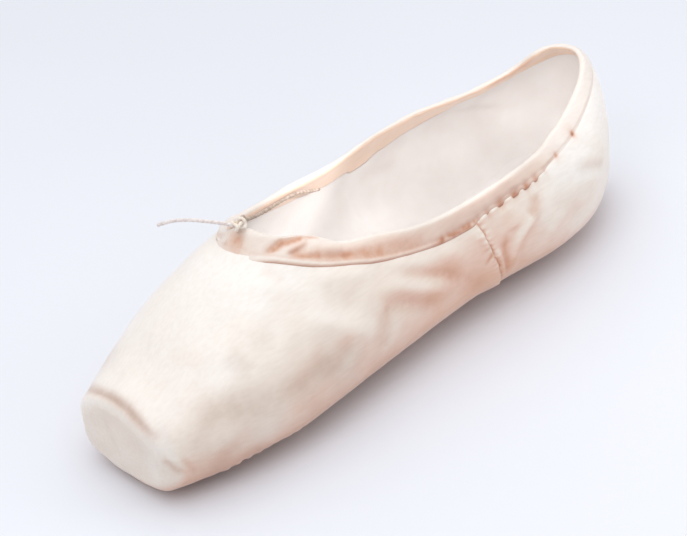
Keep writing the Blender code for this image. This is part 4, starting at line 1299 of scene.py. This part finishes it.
class Shader:
    """A Principled material under construction."""

    def __init__(self, name, **settings):
        self.material = bpy.data.materials.new(name)
        self.material.use_nodes = True
        self.tree = self.material.node_tree
        self.shader = self.tree.nodes["Principled BSDF"]
        for socket, value in settings.items():
            self.shader.inputs[socket.replace("_", " ")].default_value = value
        self.place = self.add("ShaderNodeTexCoord").outputs["Object"]

    def add(self, kind, inputs=None, **settings):
        node = self.tree.nodes.new(kind)
        for key, value in settings.items():
            setattr(node, key, value)
        for socket, value in (inputs or {}).items():
            if isinstance(value, bpy.types.NodeSocket):
                self.tree.links.new(value, node.inputs[socket])
            else:
                node.inputs[socket].default_value = value
        return node

    def noise(self, scale, detail=2.0, stretch=(1, 1, 1)):
        moved = self.add("ShaderNodeMapping", {"Vector": self.place, "Scale": stretch}).outputs[0]
        sockets = {"Vector": moved, "Scale": scale, "Detail": detail}
        return self.add("ShaderNodeTexNoise", sockets).outputs["Fac"]

    def ranged(self, value, low, high, start=0.0, end=1.0):
        sockets = {"Value": value, "From Min": start, "From Max": end, "To Min": low, "To Max": high}
        return self.add("ShaderNodeMapRange", sockets).outputs["Result"]

    def mix(self, factor, a, b, blend="MIX"):
        node = self.add("ShaderNodeMix", data_type="RGBA", blend_type=blend)
        for index, value in ((0, factor), (6, a), (7, b)):
            if isinstance(value, bpy.types.NodeSocket):
                self.tree.links.new(value, node.inputs[index])
            else:
                node.inputs[index].default_value = value
        return node.outputs[2]

    def math(self, operation, a, b):
        return self.add("ShaderNodeMath", {0: a, 1: b}, operation=operation).outputs[0]

    def ramp(self, value, start, end, tones):
        node = self.add("ShaderNodeValToRGB", {"Fac": self.ranged(value, 0, 1, start, end)})
        band = node.color_ramp
        while len(band.elements) < len(tones):
            band.elements.new(0.5)
        for element, (place, colour) in zip(band.elements, tones):
            element.position, element.color = (place - start) / (end - start), rgb(*colour)
        return node.outputs["Color"]

    def attribute(self, name):
        return self.add("ShaderNodeAttribute", attribute_name=name).outputs["Fac"]

    def link(self, socket, value):
        self.tree.links.new(value, self.shader.inputs[socket])

    def bump(self, height, distance, strength=1.0, under=None):
        inputs = {"Height": height, "Distance": distance, "Strength": strength}
        if under is not None:
            inputs["Normal"] = under
        return self.add("ShaderNodeBump", inputs).outputs[0]

    def finished(self, colour, normal, scale, smoothest, roughest):
        """The material, with a roughness that wanders at a scale."""
        self.link("Base Color", colour)
        self.link("Roughness", self.ranged(self.noise(scale, 2), smoothest, roughest, 0.3, 0.7))
        self.link("Normal", normal)
        return self.material


def rgb(red, green, blue):
    """A colour from 0 to 255 as a linear one."""
    share = np.array([red, green, blue]) / 255
    linear = np.where(share <= 0.04045, share / 12.92, ((share + 0.055) / 1.055) ** 2.4)
    return (*(float(v) for v in linear), 1.0)


def satin(name, tones):
    """Satin whose tone, from a ramp, is painted light: whiter where it faces up and warmer where it faces the
    floor, and warmer in its creases as painted shade.
    """
    soft = {"Sheen_Weight": 0.45, "Sheen_Roughness": 0.4, "Coat_Weight": 0.08, "Coat_Roughness": 0.4}
    made = Shader(name, Specular_IOR_Level=0.5, **soft)
    uneven = made.ranged(made.noise(45, 3), -0.16, 0.16, 0.3, 0.7)
    colour = made.ramp(made.math("ADD", made.attribute("painted_light"), uneven), -0.3, 1.0, tones)
    # Painted shade greys it where the looks say, with a few stains, and warms and darkens its creases
    grey_shade_and_wear = made.math("MULTIPLY", made.attribute("grey_shade_and_wear"), made.ranged(made.noise(110, 3), 0.7, 1.2, 0.3, 0.7))
    colour = made.mix(grey_shade_and_wear, colour, GREY_SHADE_AND_WEAR_TINT, "MULTIPLY")
    patchy = made.ranged(made.noise(380, 2), 0.75, 1.15, 0.3, 0.7)
    crease = made.math("MULTIPLY", made.attribute("crease"), patchy)
    colour = made.mix(1.0, colour, made.ramp(crease, 0.0, 2.0, CREASES), "MULTIPLY")
    slub = made.noise(900, 2, (1, 0.18, 1))
    colour = made.mix(made.ranged(slub, 0, 0.10, 0.35, 0.7), colour, SLUBS, "MULTIPLY")
    thread = made.bump(slub, 0.00006, 0.5)
    normal = made.bump(made.noise(170, 3, (1, 0.6, 1)), 0.0003, 0.35, thread)
    return made.finished(colour, normal, 160, 0.36, 0.50)


def cotton(name, light, dark):
    """Plain woven cotton; its grey, painted shade in the lining's folds and below the collar beside its
    seams' own lines, makes it darker.
    """
    made = Shader(name, Sheen_Weight=0.15, Specular_IOR_Level=0.25)
    patch = made.ranged(made.noise(60, 3), 0, 0.25, 0.35, 0.7)
    colour = made.mix(made.math("ADD", patch, made.attribute("grey_shade_and_wear")), light, dark)
    waves = {"Vector": made.place, "Scale": COTTON_THREADS, "Distortion": 1.5, "Detail": 1.0}
    threads = [made.add("ShaderNodeTexWave", waves, bands_direction=way).outputs["Fac"] for way in "YZ"]
    woven = made.bump(made.math("ADD", *threads), 0.00004, 0.20)
    return made.finished(colour, made.bump(made.noise(130, 3), 0.0004, 0.3, woven), 300, 0.78, 0.92)


def leather(name):
    """Pale scuffed leather; creases, here the stitched channel, make it darker."""
    made = Shader(name, Specular_IOR_Level=0.4, Coat_Weight=0.03)
    patch = made.ranged(made.noise(38, 4), 0, 1, 0.3, 0.7)
    colour = made.mix(patch, rgb(214, 184, 156), rgb(190, 156, 126))
    scuff = made.ranged(made.noise(420, 3, (1, 0.15, 1)), 0, 0.45, 0.52, 0.75)
    colour = made.mix(scuff, colour, rgb(228, 206, 184))
    colour = made.mix(made.ranged(made.attribute("crease"), 0, 0.8), colour, rgb(120, 88, 62))
    cells = made.add("ShaderNodeTexVoronoi", {"Vector": made.place, "Scale": 1300.0}).outputs["Distance"]
    grain = made.bump(cells, 0.00008, 0.5)
    return made.finished(colour, made.bump(made.noise(90, 3), 0.0004, 0.4, grain), 200, 0.58, 0.78)


def string(name, light, dark):
    """Fluffy cotton cord."""
    made = Shader(name, Sheen_Weight=0.2, Specular_IOR_Level=0.3)
    colour = made.mix(made.ranged(made.noise(700, 2), 0, 1, 0.35, 0.7), light, dark)
    return made.finished(colour, made.bump(made.noise(3500, 2, (1, 0.4, 1)), 0.00006, 0.5), 500, 0.7, 0.88)


# Assembly


def sagged(points):
    """The hidden half's grid, slid down the last where the collar sags."""
    depth, along = COLLAR_LINE.nearest(points)
    reach = THROAT_REACH * np.where(points[..., 1] < 0, bell(points[..., 0], THROAT_REACH_WIDTH), 0)
    slide = gentle(along / MM, COLLAR_SAG) * fall(depth / MM, 0, SAG_REACH) * (1 + reach) * MM
    moved = (slide > 1e-6) & (points[..., 0] > 0)
    ahead = unit(np.gradient(COLLAR_LINE.points, axis=0))
    index = np.clip(np.searchsorted(COLLAR_LINE.length, along[moved]), 0, len(ahead) - 1)
    down = unit(np.cross(ahead[index], normal(points[moved])))
    points = points.copy()
    points[moved] = settle(points[moved] + down * slide[moved][:, None])
    return points


def make_upper(satin_finish, lining_finish):
    """Satin over the last and the lining inside it, at half the satin's density, back to back."""
    base, open_below, open_above = base_grid()
    satin_halves, lining_halves = [], []
    for sign in (1, -1):
        points = base if sign > 0 else sagged(base)
        outward = grid_normals(points)
        depth, along = COLLAR_LINE.nearest(points)
        lifted = lift(points, depth)
        lifted[:PLATFORM_ROWS] = 0
        thick = wall(points, depth)
        here = points * (sign, 1, 1)
        relief, shade = satin_relief(here, depth, along, thick)
        fine = points + outward * (lifted + relief)[..., None]
        core = points + outward * (lifted - SATIN_BACK * thick)[..., None]
        back = points + outward * (lifted - LINING_BACK * thick)[..., None]
        crease, dark, grey = folds(here, LINING_FOLDS)
        soft = 0.00010 * ripple(here, 0.011, 41) + 0.00006 * ripple(here, 0.005, 42)
        inside = smooth(depth, 0.0052, 0.009) * (crease + soft)
        inner = points - outward * (thick - lifted + inside)[..., None]
        for grid in (fine, core, back, inner):
            grid[..., 0] = np.where(points[..., 0] == 0, 0, grid[..., 0] * sign)
        if satin_halves:
            on_axis = points[..., 0] == 0
            fine[on_axis] = satin_halves[0][1][on_axis]
            inner[on_axis] = lining_halves[0][1][on_axis]
        satin_halves.append((sign, fine, core[::COARSE, ::COARSE], shade))
        # Painted shade: the lining's wall is greyer from just below the collar, half as grey further down
        grey += 0.25 * smooth(depth, 0.002, 0.008) * (1 - 0.5 * smooth(depth, 0.02, 0.035))
        lining_looks = np.stack([dark, grey, 0 * dark], axis=-1)
        lining_halves.append((sign, inner, back[::COARSE, ::COARSE], lining_looks))
    upper = shell("upper_satin", satin_halves, open_below, open_above, satin_finish, COARSE)
    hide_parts("upper")
    half = [(sign, fine[::2, ::2], coarse, looks[::2, ::2]) for sign, fine, coarse, looks in lining_halves]
    every = COARSE // 2
    lining = shell("upper_lining", half, open_below[::2], open_above[::2], lining_finish, every, turned=True)


FLOOR_HALF = 3


def make_floor():
    made = Shader("studio_floor", Specular_IOR_Level=0.2)
    patch = made.ranged(made.noise(3, 2), 0, 1, 0.4, 0.6)
    made.link("Base Color", made.mix(patch, rgb(226, 229, 237), rgb(224, 227, 235)))
    made.link("Roughness", made.ranged(made.noise(40, 2), 0.6, 0.7))
    mesh = bpy.data.meshes.new("floor")
    corners = [(x * FLOOR_HALF, y * FLOOR_HALF, 0) for x, y in ((-1, -1), (1, -1), (1, 1), (-1, 1))]
    mesh.from_pydata(corners, [], [(0, 1, 2, 3)])
    mesh.materials.append(made.material)
    floor = add_object("floor", mesh)
    return floor


# Soft light of the studio: where each glow comes from and how strong it is
GLOWS = (
    ((0.0, 0.0, 1.0), 1.66),
    ((-0.87, 0.0, 0.5), 0.65),
    ((0.0, 0.87, 0.5), 0.36),
    ((0.61, 0.61, 0.5), 0.20),
    ((-0.61, 0.61, 0.5), 0.19),
    ((0.61, -0.61, 0.5), 0.30),
)
GLOW_WIDTH = 3.0
# Beams that fill the shoe's inside: place, aim, width in degrees and power
INSIDE_BEAMS = (
    ("inside_heel", (0.344, -0.320, 0.336), (-0.012, 0.110, 0.036), 5.6, 4.2),
    ("inside_waist", (0.344, -0.320, 0.336), (-0.029, 0.070, 0.042), 6.4, 3.6),
    ("inside_middle", (0.344, -0.320, 0.336), (-0.032, 0.018, 0.034), 6.4, 3.4),
    ("inside_throat", (0.300, 0.250, 0.220), (-0.028, -0.014, 0.038), 6.6, 6.0),
)


BEAM_SOURCE = 0.006
# Soft lamps: name, place, aim, size and power
LAMPS = (
    ("bounce", (0.30, 0.20, 0.22), (0, 0.06, 0.03), 0.25, 0.20),
    ("front", (0.12, -0.40, 0.40), (0, 0.0, 0.03), 0.35, 0.54),
)
LAMP_COLOUR = (1.0, 0.99, 0.98)


def add_light(name, kind, place, aim, **settings):
    """A light at a place, aimed at another."""
    data = bpy.data.lights.new(name, kind)
    for key, value in settings.items():
        setattr(data, key, value)
    return add_aimed(name, data, place, aim)


def make_world():
    """Light from all round: a sum of broad glows, each a power of the cosine from its middle."""
    world = bpy.data.worlds.new("studio")
    world.use_nodes = True
    tree = world.node_tree

    def math(operation, first, second):
        node = tree.nodes.new("ShaderNodeMath")
        node.operation = operation
        tree.links.new(first, node.inputs[0])
        if isinstance(second, float):
            node.inputs[1].default_value = second
        else:
            tree.links.new(second, node.inputs[1])
        return node.outputs[0]

    place = tree.nodes.new("ShaderNodeTexCoord").outputs["Generated"]
    total = None
    for way, strength in GLOWS:
        toward = tree.nodes.new("ShaderNodeVectorMath")
        toward.operation = "DOT_PRODUCT"
        tree.links.new(place, toward.inputs[0])
        toward.inputs[1].default_value = way
        facing = math("MAXIMUM", toward.outputs["Value"], 0.0)
        glow = math("MULTIPLY", math("POWER", facing, GLOW_WIDTH), strength)
        total = glow if total is None else math("ADD", glow, total)
    sky = tree.nodes["Background"]
    sky.inputs["Color"].default_value = rgb(255, 255, 255)
    tree.links.new(total, sky.inputs["Strength"])
    bpy.context.scene.world = world


def make_lights(floor):
    """Lamps, and soft-edged beams that fill the shoe's inside and leave the floor alone."""
    make_world()
    for name, place, aim, size, power in LAMPS:
        add_light(name, "AREA", place, aim, shape="DISK", size=size, energy=power, color=LAMP_COLOUR)
    for name, place, aim, spread, power in INSIDE_BEAMS:
        soft = {"spot_size": radians(spread), "spot_blend": 1.0, "shadow_soft_size": BEAM_SOURCE}
        beam = add_light(name, "SPOT", place, aim, energy=power, **soft)
        unlit = bpy.data.collections.new(name)
        unlit.objects.link(floor)
        beam.light_linking.receiver_collection = unlit
        unlit.collection_objects[0].light_linking.link_state = "EXCLUDE"


def main():
    scene = bpy.context.scene
    scene.view_settings.view_transform = "Standard"
    peach = satin("peach_satin", PEACH_TONES)
    casing = satin("binding_satin", SHADED_CASING_TONES)
    inside = satin("binding_satin_inside", CASING_INSIDE_TONES)
    white = cotton("white_cotton", rgb(252, 250, 249), rgb(226, 216, 211))
    # The two ends are one cord in a lit and a shaded copy of its material: painted light and painted shade
    lit_cord = string("lit_cotton_cord", rgb(246, 238, 236), rgb(222, 208, 204))
    grey = string("shaded_cotton_cord", rgb(212, 194, 180), rgb(168, 146, 132))
    make_cords({"drawstring_end_1": lit_cord, "drawstring_end_2": grey})
    make_knot(string("knotted_cord", rgb(250, 240, 229), rgb(240, 226, 212)))
    make_upper(peach, white)
    make_binding(casing, inside)
    make_insole(white)
    make_outsole(leather("sole_leather"))
    make_lights(make_floor())
    bpy.context.view_layer.update()


main()
